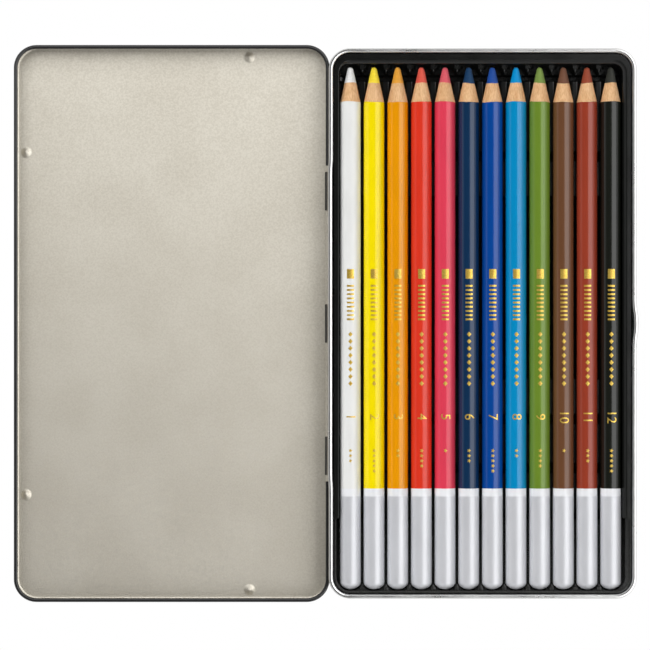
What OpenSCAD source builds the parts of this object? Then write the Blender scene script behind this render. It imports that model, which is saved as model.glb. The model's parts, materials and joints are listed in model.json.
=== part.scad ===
// Flat hinged tinplate tin with a formed inlay tray and twelve round colored pencils.
// It lies open: the pan with the pencils on the right, the lid inside up on its left.
// X runs from the hinge to the front of the pan, Y towards the pencils' tips and Z up.
// The origin is the centre of the pan's underside. Sizes are in millimetres.

/* [Pencils] */
// Diameter of a barrel
pencil_d = 7; // [6.4:0.1:8]
// Length of a pencil, sharpened tip included
pencil_l = 175; // [160:1:190]
// Free space between neighbouring barrels
pencil_gap = 0.93; // [0.7:0.01:2]
// Length of the sharpened cone
cone_l = 12; // [10:0.5:16]
// Radius that blunts the tip
tip_r = 1; // [0.6:0.1:1.2]
// Diameter of the lead
lead_d = 4; // [3:0.1:4.4]
// Length of the domed back end
dome_l = 2.6; // [1.5:0.1:3.2]
// Wood and lacquer left behind the lead at the back end
lead_stop = 3.2; // [2:0.1:6]

/* [Inlay tray] */
// Thickness of the formed sheet
tray_t = 0.5; // [0.3:0.05:0.6]
// Free space around a barrel in its groove
groove_clear = 0.1; // [0.05:0.05:0.2]
// Height of the hollow under the grooves
tray_lift = 5.1; // [4:0.1:8]
// Free space between the tray's edge and the pan's wall
tray_clear = 0.3; // [0.2:0.05:0.6]
// How far the flange lies below the pan's rim
flange_drop = 0.9; // [0.5:0.1:2]
// Width of the flange on the hinge side
flange_rear = 1.65; // [1.6:0.05:4]
// Width of the flange on the front side
flange_front = 2.85; // [1.6:0.05:6]
// Width of the flange beyond the pencils' tips
flange_tip = 3.4; // [1:0.1:8]
// Width of the flange beyond the pencils' back ends
flange_end = 0.8; // [0.7:0.1:5]
// Corner radius of the recess
recess_corner = 3; // [1:0.1:4]
// Sideways play of the row of pencils in the recess
side_play = 0.35; // [0.2:0.05:1]
// Free space beyond the tips
tip_play = 1; // [0.5:0.1:2]
// Free space beyond the back ends
end_play = 0.3; // [0.2:0.1:1]
// How far the recess widens beside the back rib block
side_step = 0.9; // [0.4:0.1:1]

/* [Rib blocks] */
// Length of the scalloped shelf around the tips
tip_shelf_l = 3.7; // [2:0.1:5]
// Well between the tip shelf and the first rib block
tip_well_l = 1.5; // [1:0.1:3]
// Length of the rib block under the cones
cone_block_l = 24; // [16:0.5:28]
// Length of the rib block on the tips' side of the finger recess
front_block_l = 12; // [8:0.5:16]
// Length of the rib block on the back side of the finger recess
middle_block_l = 12; // [8:0.5:16]
// Length of the rib block behind the middle one
low_block_l = 13.5; // [8:0.5:16]
// Length of the rib block under the white bands
band_block_l = 12.5; // [8:0.5:16]
// Length of the rib block under the back ends
back_block_l = 21.5; // [14:0.5:24]
// Length of the scalloped shelf around the back ends
end_shelf_l = 2.4; // [1.5:0.1:3]
// Width of the wells between rib blocks
well_l = 3; // [2:0.1:4]
// How far most ribs' tops lie below the pencils' axes
rib_drop = 2.3; // [1.8:0.1:2.8]
// How far the raised blocks' ribs lie below the pencils' axes
raised_drop = 1.7; // [1.4:0.1:2.2]

/* [Pan] */
// Thickness of the tinplate
sheet = 0.3; // [0.2:0.05:0.35]
// Outer radius of the pan's rolled rim
rim_r = 0.75; // [0.6:0.05:0.9]
// Corner radius of the rim
pan_corner = 7.2; // [6:0.1:10]
// Outer radius of the bend from floor to wall
pan_bend = 1.6; // [0.8:0.1:2]
// How far the rim stands above the pencils
rim_over = 0.2; // [0.1:0.1:1]
// How far the front rim bulges for a fingernail
bulge = 0.65; // [0.3:0.05:1]
// Length of that bulge along the rim
bulge_l = 15; // [8:1:30]

/* [Lid] */
// Outer radius of the lid's rolled edge, which is also the hinge rod
lid_curl_r = 0.6; // [0.5:0.05:0.7]
// Outer corner radius
lid_corner = 7.7; // [6.5:0.1:10]
// Outer radius of the bend from face to wall
lid_bend = 2; // [1:0.1:2.5]
// Gap between the closed lid's edge and the rim at each side
side_clear = 0.3; // [0.2:0.05:0.6]
// Gap between the closed lid's edge and the bulge
front_clear = 0.35; // [0.3:0.05:1]
// Space between the rim and the closed lid's inner face
headroom = 1.1; // [0.8:0.1:3]
// Gap that the pressed pips leave above the rim
pip_clear = 0.3; // [0.2:0.05:0.5]
// Width of a pip where it leaves the face
pip_d = 3.2; // [2:0.1:4]
// Distance of the front pips from the middle of the front wall
pip_y = 57.8; // [30:0.5:70]
// Distance of the side pips from the front edge
pip_x = 79; // [40:1:85]

/* [Hinge] */
// Length of a slot in the lid's rear wall
slot_l = 13.4; // [8:0.1:20]
// Spacing of the slots
slot_pitch = 44.4; // [30:0.1:55]
// Free length at each end of a tongue in its slot
slot_play = 0.5; // [0.3:0.1:1]
// Running clearance between a tongue and the rolled edge
hinge_fit = 0.08; // [0.04:0.01:0.1]
// How far the hinge axis lies behind the rim
hinge_back = 0.25; // [0.1:0.05:0.5]

/* [Hidden] */
$fn = 64;

// Each pencil's name and the color of its barrel
PAINTS = [
  ["white", [0.93, 0.93, 0.92]],
  ["yellow", [0.96, 0.88, 0.05]],
  ["orange", [0.91, 0.59, 0.05]],
  ["red", [0.85, 0.2, 0.14]],
  ["carmine", [0.87, 0.27, 0.35]],
  ["dark_blue", [0.08, 0.19, 0.33]],
  ["ultramarine", [0.05, 0.27, 0.59]],
  ["cyan", [0.02, 0.59, 0.8]],
  ["green", [0.42, 0.54, 0.18]],
  ["brown", [0.41, 0.27, 0.18]],
  ["brick", [0.59, 0.24, 0.16]],
  ["black", [0.1, 0.1, 0.07]],
];
STEEL = [0.8, 0.8, 0.79];
BEIGE = [0.75, 0.73, 0.68];
TRAY_BLACK = [0.08, 0.08, 0.08];

// Pencils
count = len(PAINTS);
pencil_r = pencil_d / 2;
lead_r = lead_d / 2;
pitch = pencil_d + pencil_gap;
tip_run = cone_l - tip_r;
cone_angle = acos(tip_r / norm([tip_run, pencil_r])) - atan2(tip_run, pencil_r);
dome_r = (pencil_r ^ 2 + dome_l ^ 2) / (2 * dome_l);

// Tray and pan, worked out from the row of pencils
recess_x = (count - 1) * pitch + pencil_d + 2 * side_play;
recess_y = pencil_l + tip_play + end_play;
tray_x = recess_x + flange_rear + flange_front;
tray_y = recess_y + flange_tip + flange_end;
pan_x = tray_x + 2 * tray_clear + 4 * rim_r;
pan_y = tray_y + 2 * tray_clear + 4 * rim_r;
recess_x0 = -tray_x / 2 + flange_rear;
recess_y0 = -tray_y / 2 + flange_end;
recess_y1 = recess_y0 + recess_y;
pencil_x0 = recess_x0 + side_play + pencil_r;
pencil_y0 = recess_y0 + end_play;
groove_r = pencil_r + groove_clear;
pencil_z = sheet + tray_lift + tray_t + groove_r;
pan_h = pencil_z + pencil_r + rim_over;
flange_z = pan_h - flange_drop;
wall_out = 2 * rim_r - sheet;
tray_corner = pan_corner - 2 * rim_r - tray_clear;
end_corner = max(recess_corner, tray_corner - min(flange_rear - side_step, flange_end));

// Rib blocks: the ones before the finger recess count from the tips, the others from the back ends
cone_block_y = recess_y1 - tip_shelf_l - tip_well_l;
front_block_y = cone_block_y - cone_block_l - well_l;
back_block_y = recess_y0 + end_shelf_l + back_block_l;
band_block_y = back_block_y + well_l + band_block_l;
low_block_y = band_block_y + well_l + low_block_l;
middle_block_y = low_block_y + well_l + middle_block_l;
// Each block's end towards the tips, its length, and its ribs' depth below the pencils' axes
BLOCKS = [
  [cone_block_y, cone_block_l, rib_drop],
  [front_block_y, front_block_l, raised_drop],
  [middle_block_y, middle_block_l, raised_drop],
  [low_block_y, low_block_l, rib_drop],
  [band_block_y, band_block_l, rib_drop],
  [back_block_y, back_block_l, raised_drop],
];

// Lid and hinge
closed_h = pan_h + headroom + sheet;
hinge_z = closed_h / 2;
hinge_x = -pan_x / 2 - hinge_back;
lid_y = pan_y + 2 * side_clear + 4 * lid_curl_r;
lid_x = pan_x / 2 + bulge + front_clear + 2 * lid_curl_r - hinge_x + lid_curl_r;
lid_mid = hinge_x + lid_curl_r - lid_x / 2;
pip_h = headroom - pip_clear;
pip_r = (pip_d ^ 2 / 4 + pip_h ^ 2) / (2 * pip_h);
pip_in = lid_bend + pip_d / 2;
tongue_r = lid_curl_r + hinge_fit + sheet;
slot_drop = tongue_r + hinge_fit;
hinge_ys = [-slot_pitch, 0, slot_pitch];

// A rolled sheet edge in section, open where the roll turns back to its wall. The roll lies
// towards +x of a wall on its left, and its centre is at the origin.
module curl(r) {
  difference() {
    circle(r = r);
    circle(r = r - sheet);
    polygon([[0, 0], [-2 * r, 0], [-2 * r, -2 * r], [-r, -2 * r]]);
  }
}

// A quarter bend from a floor on the left to a wall on the right, its outer corner at the origin
module bend(r) {
  intersection() {
    translate([-r, r]) difference() {
      circle(r = r);
      circle(r = r - sheet);
    }
    translate([-r, 0]) square(r);
  }
}

// A section swept along the four walls of a drawn pan. Its x counts from the corner centres.
module around(size_x, size_y, corner) {
  run_x = size_x / 2 - corner;
  run_y = size_y / 2 - corner;
  for (turn = [0 : 3]) {
    across = turn % 2 == 0 ? run_x : run_y;
    along = turn % 2 == 0 ? run_y : run_x;
    rotate([0, 0, 90 * turn]) {
      translate([across, 0, 0]) rotate([90, 0, 0])
        linear_extrude(height = 2 * along, center = true) children();
      translate([across, along, 0]) rotate_extrude(angle = 90) children();
    }
  }
}

// A drawn pan: its floor and the section of its wall
module drawn(size_x, size_y, corner) {
  floor_x = size_x - 2 * corner;
  floor_y = size_y - 2 * corner;
  around(size_x, size_y, corner) children();
  translate([-floor_x / 2, -floor_y / 2, 0]) cube([floor_x, floor_y, sheet]);
}

// A floor strip, a bend and a wall up to a height, for a wall whose outer face is at wall_x
module wall_section(wall_x, bend_r, top) {
  square([wall_x - bend_r, sheet]);
  translate([wall_x, 0]) bend(bend_r);
  translate([wall_x - sheet, bend_r]) square([sheet, top - bend_r]);
}

// A plate with round corners, from a corner point
module round_plate(x0, y0, size_x, size_y, corner) {
  translate([x0 + corner, y0]) square([size_x - 2 * corner, size_y]);
  translate([x0, y0 + corner]) square([size_x, size_y - 2 * corner]);
  for (x = [x0 + corner, x0 + size_x - corner], y = [y0 + corner, y0 + size_y - corner])
    translate([x, y]) circle(r = corner);
}

// The tray's recess in plan, grown by a margin. It is wider beside the back rib block, with
// corners that follow the pan's, and straight into that part from the row of pencils.
module recess(margin) {
  round_plate(recess_x0 - margin, recess_y0 + end_corner,
    recess_x + 2 * margin, recess_y - end_corner + margin, recess_corner + margin);
  round_plate(recess_x0 - side_step - margin, recess_y0 - margin,
    recess_x + 2 * (side_step + margin), back_block_y - recess_y0 + 2 * margin,
    end_corner + margin);
}

// A row of one shape for each pencil, across the tray
module each_pencil() {
  for (i = [0 : count - 1]) translate([pencil_x0 + i * pitch, 0]) children();
}

// A rib block in section, between x and z, lowered by a margin for the hollow beneath
module ribs(drop, margin) {
  difference() {
    translate([recess_x0 - side_step, 0])
      square([recess_x + 2 * side_step, pencil_z - drop - margin]);
    each_pencil() translate([0, pencil_z]) circle(r = groove_r + margin);
  }
}

// A section in x and z, drawn out towards the back ends from y
module drawn_back(y, length) {
  translate([0, y, 0]) rotate([90, 0, 0]) linear_extrude(height = length) children();
}

// A shelf with an upright half-round pocket for each pencil, grown inward by a margin
module scallops(y0, length, top, pocket_y, pocket_r, margin) {
  linear_extrude(height = top - margin) difference() {
    translate([recess_x0, y0]) square([recess_x, length]);
    translate([0, pocket_y]) each_pencil() circle(r = pocket_r + margin);
  }
}

// The shelf around the tips, or the hollow under it
module tip_shelf(margin) {
  scallops(recess_y1 - tip_shelf_l + margin, tip_shelf_l - margin, pencil_z - lead_r / 4,
    recess_y1 - groove_r - tray_t / 2, groove_r, margin);
}

// The shelf around the back ends, or the hollow under it
module end_shelf(margin) {
  scallops(recess_y0, end_shelf_l - margin, pencil_z + lead_r / 2,
    pencil_y0 + pencil_r, groove_r + groove_clear, margin);
}

// A tongue of the pan, rolled around the lid's edge, in section
module tongue_section() {
  translate([hinge_x, hinge_z]) difference() {
    circle(r = tongue_r);
    circle(r = tongue_r - sheet);
    polygon([[0, 0], [2 * tongue_r, -0.4 * tongue_r], [2 * tongue_r, -1.2 * tongue_r]]);
  }
  translate([hinge_x, hinge_z - tongue_r])
    square([-pan_x / 2 + wall_out - hinge_x + sheet / 2, sheet]);
}

// Pan: floor, wall, rolled rim, fingernail bulge and three hinge tongues
module base_pan() {
  wall_x = pan_corner - wall_out;
  rim_z = pan_h - rim_r;
  bulge_r = (bulge_l ^ 2 / 4 + bulge ^ 2) / (2 * bulge);
  color(STEEL) {
    drawn(pan_x, pan_y, pan_corner) {
      union() {
        wall_section(wall_x, pan_bend, rim_z);
        translate([pan_corner - rim_r, rim_z]) curl(rim_r);
      }
    }
    intersection() {
      translate([pan_x / 2 + bulge - bulge_r, 0, rim_z - rim_r / 2])
        cylinder(r = bulge_r, h = rim_r);
      translate([pan_x / 2 - sheet, -bulge_l, 0]) cube([2 * rim_r, 2 * bulge_l, pan_h]);
    }
    for (y = hinge_ys)
      drawn_back(y + slot_l / 2 - slot_play, slot_l - 2 * slot_play) tongue_section();
  }
}

// A pressed pip of the lid, or the dent behind it when its wall is taken off
module pip(wall) {
  translate([0, 0, sheet + pip_h - pip_r]) sphere(r = pip_r - wall);
}

// Places of the pips: two by the front wall and one by each side wall
module each_pip() {
  for (side = [-1, 1]) {
    translate([-lid_x / 2 + pip_in, side * pip_y, 0]) children();
    translate([-lid_x / 2 + pip_x, side * (lid_y / 2 - pip_in), 0]) children();
  }
}

// Lid: face, wall, edge rolled inward, four pips and three slots for the tongues
module lid() {
  color(BEIGE) translate([lid_mid, 0, 0]) difference() {
    union() {
      drawn(lid_x, lid_y, lid_corner) {
        union() {
          wall_section(lid_corner, lid_bend, hinge_z);
          translate([lid_corner - lid_curl_r, hinge_z]) mirror([1, 0]) curl(lid_curl_r);
        }
      }
      intersection() {
        each_pip() pip(0);
        translate([-lid_x / 2, -lid_y / 2, 0]) cube([lid_x, lid_y, closed_h]);
      }
    }
    each_pip() pip(sheet);
    for (y = hinge_ys) translate([lid_x / 2 - 2 * sheet, y - slot_l / 2, hinge_z - slot_drop])
      cube([3 * sheet, slot_l, slot_drop]);
  }
}

// Room for the pan's bend along the tray's bottom edge, as a section of the pan's wall
module bend_room() {
  bend_x = pan_corner - wall_out - pan_bend - tray_clear;
  translate([bend_x, 0]) difference() {
    square([pan_bend + tray_clear, pan_bend]);
    translate([0, pan_bend]) circle(r = pan_bend - sheet);
  }
}

// Inlay tray: one formed sheet with a flange, a walled recess and ribs between the pencils
module inlay_tray() {
  color(TRAY_BLACK) difference() {
    formed_sheet();
    around(pan_x, pan_y, pan_corner) bend_room();
  }
}

// The inlay tray before its bottom edge is rounded
module formed_sheet() {
  union() {
    translate([0, 0, flange_z - tray_t]) linear_extrude(height = tray_t) difference() {
      round_plate(-tray_x / 2, -tray_y / 2, tray_x, tray_y, tray_corner);
      recess(0);
    }
    translate([0, 0, sheet]) linear_extrude(height = flange_z - sheet) difference() {
      recess(tray_t);
      recess(0);
    }
    difference() {
      intersection() {
        union() {
          translate([recess_x0 - side_step, recess_y0, sheet])
            cube([recess_x + 2 * side_step, recess_y, tray_t]);
          for (b = BLOCKS) drawn_back(b[0], b[1]) ribs(b[2], 0);
          tip_shelf(0);
          end_shelf(0);
        }
        translate([0, 0, sheet]) linear_extrude(height = flange_z) recess(tray_t / 2);
      }
      for (b = BLOCKS) drawn_back(b[0] - tray_t, b[1] - 2 * tray_t) ribs(b[2], tray_t);
      tip_shelf(tray_t);
      end_shelf(tray_t);
    }
  }
}

// Outline of a whole pencil: radius along x, length along y from the back end
module pencil_outline() {
  cone_y = pencil_l - cone_l;
  touch = [tip_r * cos(cone_angle), pencil_l - tip_r + tip_r * sin(cone_angle)];
  intersection() {
    union() {
      translate([0, dome_r]) circle(r = dome_r);
      translate([0, dome_l]) square([pencil_r, cone_y - dome_l]);
      polygon([[0, cone_y], [pencil_r, cone_y], touch, [0, touch[1]]]);
      translate([0, pencil_l - tip_r]) circle(r = tip_r);
    }
    square([pencil_r, pencil_l]);
  }
}

// Bore for the lead, or the lead before it is sharpened, as an outline
module lead_outline() {
  translate([0, lead_stop]) square([lead_r, pencil_l]);
}

// Puts an outline in pencil i's place in the tray, turned about its axis
module in_place(i) {
  translate([pencil_x0 + i * pitch, pencil_y0, pencil_z]) rotate([-90, 0, 0])
    rotate_extrude() children();
}

// Wooden barrel, lacquered behind its cone and bored for the lead
module barrel(i) {
  color(PAINTS[i][1]) in_place(i) difference() {
    pencil_outline();
    lead_outline();
  }
}

// Lead, sharpened together with its barrel
module lead(i) {
  color(PAINTS[i][1]) in_place(i) intersection() {
    pencil_outline();
    lead_outline();
  }
}

base_pan();
lid();
inlay_tray();
for (i = [0 : count - 1]) {
  barrel(i);
  lead(i);
}
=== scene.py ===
"""A flat hinged tin of twelve round colored pencils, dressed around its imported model.

The tin lies open: the pan with its inlay tray and pencils on the right, the lid inside up on its
left. X runs from the hinge to the front of the pan, Y towards the pencils' tips and Z up, in
metres. Each sub-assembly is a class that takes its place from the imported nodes' boxes.
"""

from __future__ import annotations

import json
import logging
import math
from contextlib import contextmanager
from dataclasses import dataclass, field
from enum import Enum
from typing import Any, Callable, Iterator, Sequence

import bmesh
import bpy
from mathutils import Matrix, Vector

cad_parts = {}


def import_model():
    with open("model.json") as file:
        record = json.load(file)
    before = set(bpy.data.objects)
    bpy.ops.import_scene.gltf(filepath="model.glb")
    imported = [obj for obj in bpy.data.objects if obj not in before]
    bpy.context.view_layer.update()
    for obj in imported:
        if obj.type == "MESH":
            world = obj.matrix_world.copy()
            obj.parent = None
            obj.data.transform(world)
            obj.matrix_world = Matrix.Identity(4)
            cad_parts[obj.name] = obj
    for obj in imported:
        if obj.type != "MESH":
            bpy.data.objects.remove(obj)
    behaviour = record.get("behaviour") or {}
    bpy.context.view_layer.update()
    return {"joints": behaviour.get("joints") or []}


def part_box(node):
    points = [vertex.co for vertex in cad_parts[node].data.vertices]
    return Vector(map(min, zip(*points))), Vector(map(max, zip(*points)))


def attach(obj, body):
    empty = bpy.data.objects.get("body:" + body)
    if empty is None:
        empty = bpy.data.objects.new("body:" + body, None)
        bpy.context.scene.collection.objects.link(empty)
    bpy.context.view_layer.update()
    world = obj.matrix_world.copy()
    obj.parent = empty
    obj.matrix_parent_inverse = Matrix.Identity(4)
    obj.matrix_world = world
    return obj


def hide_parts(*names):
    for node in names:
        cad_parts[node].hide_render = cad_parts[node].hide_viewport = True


log = logging.getLogger("pencil_tin")

MM = 0.001
SENSOR = 36.0
NOISE_RANGE = (0.3, 0.7)
STAR_STEP = 7
MOST_STARS = 5

Color = tuple[float, float, float]
Point = tuple[float, float, float]


def srgb(code: str) -> Color:
    """Turns a display color into scene values.

    Args:
        code: Six hexadecimal digits, red first.

    Returns:
        The color in linear values.
    """
    channels = [int(code[at : at + 2], 16) / 255 for at in (0, 2, 4)]
    return tuple(c / 12.92 if c <= 0.04045 else ((c + 0.055) / 1.055) ** 2.4 for c in channels)


def smooth(low: float, high: float, value: float) -> float:
    """Eases from 0 at low to 1 at high."""
    t = min(1.0, max(0.0, (value - low) / (high - low)))
    return t * t * (3 - 2 * t)


def mix(a: float, b: float, t: float) -> float:
    """Goes from a to b as t goes from 0 to 1."""
    return a + (b - a) * t


@dataclass(frozen=True)
class Box:
    """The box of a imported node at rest."""

    low: Vector
    high: Vector

    @classmethod
    def of(cls, node: str) -> Box:
        """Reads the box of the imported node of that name."""
        return cls(*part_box(node))

    @property
    def center(self) -> Vector:
        """The middle of the box."""
        return (self.low + self.high) / 2

    @property
    def size(self) -> Vector:
        """The box's extents."""
        return self.high - self.low


def linked(name: str, data: bpy.types.ID) -> bpy.types.Object:
    """Adds an object with that name and data to the scene."""
    made = bpy.data.objects.new(name, data)
    bpy.context.scene.collection.objects.link(made)
    return made


def evaluated(shape: bpy.types.Object) -> bpy.types.Mesh:
    """The object's mesh, as its modifiers or its curve leave it."""
    graph = bpy.context.evaluated_depsgraph_get()
    return bpy.data.meshes.new_from_object(shape.evaluated_get(graph))


class Piece:
    """Turns points and faces into a finished object of the scene."""

    def __init__(self, name: str, points: Sequence[Point], faces: Sequence[Sequence[int]]) -> None:
        """Makes the mesh and its object.

        Args:
            name: The object's name.
            points: Places of the vertices.
            faces: Vertex indices of each face, seen from outside in a counterclockwise turn.
        """
        mesh = bpy.data.meshes.new(name)
        mesh.from_pydata([tuple(p) for p in points], [], [list(f) for f in faces])
        mesh.validate()
        self.object = linked(name, mesh)

    @classmethod
    def from_mesh(cls, name: str, mesh: bpy.types.Mesh) -> Piece:
        """Wraps a mesh that is already made."""
        piece = cls.__new__(cls)
        mesh.name = name
        piece.object = linked(name, mesh)
        return piece

    @property
    def mesh(self) -> bpy.types.Mesh:
        """The piece's mesh."""
        return self.object.data

    @contextmanager
    def edit(self) -> Iterator[bmesh.types.BMesh]:
        """Opens the piece's mesh for a change and puts it back."""
        shape = bmesh.new()
        shape.from_mesh(self.mesh)
        yield shape
        shape.to_mesh(self.mesh)
        shape.free()

    def soften(self, angle: float = 40.0) -> Piece:
        """Shades the piece smooth, except where faces meet at more than an angle in degrees."""
        self.mesh.polygons.foreach_set("use_smooth", [True] * len(self.mesh.polygons))
        self.mesh.set_sharp_from_angle(angle=math.radians(angle))
        return self

    def orient(self, merge: float = 0.0) -> Piece:
        """Points the faces of a closed mesh outwards.

        Args:
            merge: Distance below which vertices are merged first, or 0 to merge none.

        Returns:
            The piece itself.
        """
        with self.edit() as shape:
            if merge:
                bmesh.ops.remove_doubles(shape, verts=shape.verts, dist=merge)
            bmesh.ops.recalc_face_normals(shape, faces=shape.faces)
        return self

    def dress(
        self,
        materials: Sequence[bpy.types.Material],
        choose: Callable[[Vector], int] | None = None,
    ) -> Piece:
        """Gives the piece its materials.

        Args:
            materials: The materials of the slots, in order.
            choose: Gives the slot of a face from the face's center, where there are several.

        Returns:
            The piece itself.
        """
        self.mesh.materials.clear()
        for material in materials:
            self.mesh.materials.append(material)
        if choose is not None:
            for face in self.mesh.polygons:
                face.material_index = choose(face.center)
        return self

    def settle(self, body: str, slot: str, *nodes: str) -> Piece:
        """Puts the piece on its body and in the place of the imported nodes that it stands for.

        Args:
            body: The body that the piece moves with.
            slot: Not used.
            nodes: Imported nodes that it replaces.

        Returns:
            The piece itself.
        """
        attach(self.object, body)
        if nodes:
            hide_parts(*nodes)
        log.info("%s: %d faces on %s", self.object.name, len(self.mesh.polygons), body)
        return self


def grow(
    tree: bpy.types.NodeTree,
    kind: str,
    settings: dict[str, Any] | None = None,
    values: dict[str | int, Any] | None = None,
) -> bpy.types.Node:
    """Adds a node to a tree.

    Args:
        tree: The shader, world or geometry tree.
        kind: The node's type.
        settings: Its properties.
        values: Numbers, colors or links of its input sockets, by name or place.

    Returns:
        The node.
    """
    node = tree.nodes.new(kind)
    for name, setting in (settings or {}).items():
        setattr(node, name, setting)
    for name, value in (values or {}).items():
        socket = node.inputs[name]
        if isinstance(value, Node):
            value = value.out()
        if isinstance(value, Value):
            value = value.socket
        if isinstance(value, bpy.types.Node):
            value = value.outputs[0]
        if isinstance(value, bpy.types.NodeSocket):
            tree.links.new(value, socket)
        elif isinstance(value, tuple) and socket.type == "RGBA":
            socket.default_value = (*value, 1.0)
        else:
            socket.default_value = value
    return node


class Value:
    """A number from a shader socket, with arithmetic that adds Math nodes."""

    def __init__(self, sheet: Sheet, socket: bpy.types.NodeSocket) -> None:
        """Wraps an output socket of a sheet's tree."""
        self.sheet = sheet
        self.socket = socket

    def _math(self, operation: str, *terms: Value | float) -> Value:
        """Adds a Math node over the terms."""
        values = {at: term for at, term in enumerate(terms)}
        return self.sheet.add("ShaderNodeMath", {"operation": operation}, values).value()

    def __add__(self, other: Value | float) -> Value:
        """Sum."""
        return self._math("ADD", self, other)

    def __mul__(self, other: Value | float) -> Value:
        """Product."""
        return self._math("MULTIPLY", self, other)

    def ramp(self, low: float, high: float, start: float, end: float) -> Value:
        """Maps low to high onto start to end with smooth ends."""
        settings = {"interpolation_type": "SMOOTHSTEP"}
        values = {"Value": self, "From Min": low, "From Max": high, "To Min": start, "To Max": end}
        return self.sheet.add("ShaderNodeMapRange", settings, values).value()

    def spread(self, start: float, end: float) -> Value:
        """Maps the range that a noise mostly keeps to onto start to end."""
        return self.ramp(*NOISE_RANGE, start, end)


class Node:
    """A node of a sheet, whose outputs are taken by name."""

    def __init__(self, sheet: Sheet, node: bpy.types.Node) -> None:
        """Wraps a node of a sheet's tree."""
        self.sheet = sheet
        self.node = node

    def out(self, name: str | int = 0) -> bpy.types.NodeSocket:
        """The output socket of that name or place."""
        return self.node.outputs[name]

    def value(self, name: str | int = 0) -> Value:
        """The output of that name or place as a number."""
        return Value(self.sheet, self.out(name))


class Sheet:
    """The node tree of a material or a world."""

    def __init__(self, owner: bpy.types.Material | bpy.types.World, space: str = "Object") -> None:
        """Empties the owner's tree.

        Args:
            owner: The new material or world.
            space: The coordinates that its patterns are laid out in.
        """
        self.owner = owner
        owner.use_nodes = True
        self.tree = owner.node_tree
        self.tree.nodes.clear()
        self.place = self.add("ShaderNodeTexCoord").out(space)

    @classmethod
    def of(cls, name: str) -> Sheet:
        """Starts an empty material of that name."""
        return cls(bpy.data.materials.new(name))

    def add(self, kind: str, settings: Any = None, values: Any = None) -> Node:
        """Adds a node, as grow() does, and wraps it."""
        return Node(self, grow(self.tree, kind, settings, values))

    def axes(self) -> tuple[Value, Value, Value]:
        """The object's coordinates, in metres, one by one."""
        split = self.add("ShaderNodeSeparateXYZ", values={0: self.place})
        return split.value("X"), split.value("Y"), split.value("Z")

    def stretched(self, scale: Point) -> bpy.types.NodeSocket:
        """The object's coordinates with each axis multiplied."""
        settings = {"operation": "MULTIPLY"}
        return self.add("ShaderNodeVectorMath", settings, {0: self.place, 1: scale}).out()

    def noise(self, size: float, detail: float = 2.0, stretch: Point = (1.0, 1.0, 1.0)) -> Value:
        """Soft noise with blotches of about a size in metres.

        Args:
            size: Width of a blotch.
            detail: How many finer layers it has.
            stretch: Factors that squeeze the pattern along each axis.

        Returns:
            A number around a half.
        """
        values = {"Vector": self.stretched(stretch), "Scale": 1 / size, "Detail": detail}
        return self.add("ShaderNodeTexNoise", {}, values).value("Fac")

    def specks(self, size: float, stretch: Point = (1.0, 1.0, 1.0)) -> Value:
        """Distance to scattered points of about a size apart, as a share of it."""
        values = {"Vector": self.stretched(stretch), "Scale": 1 / size}
        return self.add("ShaderNodeTexVoronoi", {}, values).value("Distance")

    def blend(self, factor: Value, first: Any, second: Any) -> bpy.types.NodeSocket:
        """Mixes two colors."""
        values = {"Factor": factor, 6: first, 7: second}
        return self.add("ShaderNodeMix", {"data_type": "RGBA"}, values).out(2)

    def bump(self, height: Value, distance: float) -> bpy.types.NodeSocket:
        """Turns a height from 0 to 1 into a normal, with its full depth in metres."""
        values = {"Height": height, "Distance": distance, "Strength": 1.0}
        return self.add("ShaderNodeBump", {}, values).out()

    def finish(self, **sockets: Any) -> bpy.types.Material:
        """Ends the tree in a principled shader.

        Args:
            sockets: The shader's inputs, with their names' spaces as underscores.

        Returns:
            The finished material.
        """
        values = {name.replace("_", " "): value for name, value in sockets.items()}
        shader = self.add("ShaderNodeBsdfPrincipled", {}, values)
        self.add("ShaderNodeOutputMaterial", {}, {"Surface": shader})
        return self.owner


class Paint(Enum):
    """The twelve paints, in their order in the tin: lacquer and pigment colors."""

    WHITE = ("E7E7E5", "E9E9E8")
    YELLOW = ("F6DF00", "FADF3C")
    ORANGE = ("E69600", "E4A03A")
    RED = ("DA3621", "DE5A4A")
    CARMINE = ("DC3E55", "DC5C68")
    DARK_BLUE = ("0C2D4E", "16385A")
    ULTRAMARINE = ("024394", "214B99")
    CYAN = ("0089C0", "028FCF")
    GREEN = ("69862B", "779046")
    BROWN = ("68442C", "6E4A38")
    BRICK = ("953A26", "944630")
    BLACK = ("141611", "2E2F2A")

    @property
    def word(self) -> str:
        """The paint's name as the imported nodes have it."""
        return self.name.lower()

    @property
    def lacquer(self) -> Color:
        """Color of the barrel."""
        return srgb(self.value[0])

    @property
    def pigment(self) -> Color:
        """Color of the lead."""
        return srgb(self.value[1])


@dataclass(frozen=True)
class Lacquer:
    """Dipped gloss lacquer, a little wavy, as on barrels and their end caps."""

    color: Color
    roughness: float = 0.19
    tint: float = 0.05
    wave: float = 0.9 * MM
    wave_depth: float = 0.0035 * MM
    metallic: float = 0.0

    def make(self, name: str) -> bpy.types.Material:
        """Builds the material of that name."""
        sheet = Sheet.of(name)
        cloud = sheet.noise(6 * MM, 3.0, (1.0, 0.35, 1.0))
        dust = sheet.noise(0.12 * MM, 1.0)
        darker = tuple(c * (1 - self.tint) for c in self.color)
        color = sheet.blend(cloud.ramp(0.35, 0.65, 0.0, 1.0), darker, self.color)
        return sheet.finish(
            Base_Color=color,
            Metallic=self.metallic,
            Roughness=dust.spread(self.roughness - 0.03, self.roughness + 0.05),
            Specular_IOR_Level=0.5,
            Normal=sheet.bump(sheet.noise(self.wave, 2.0, (1.0, 0.25, 1.0)), self.wave_depth),
        )


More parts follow.
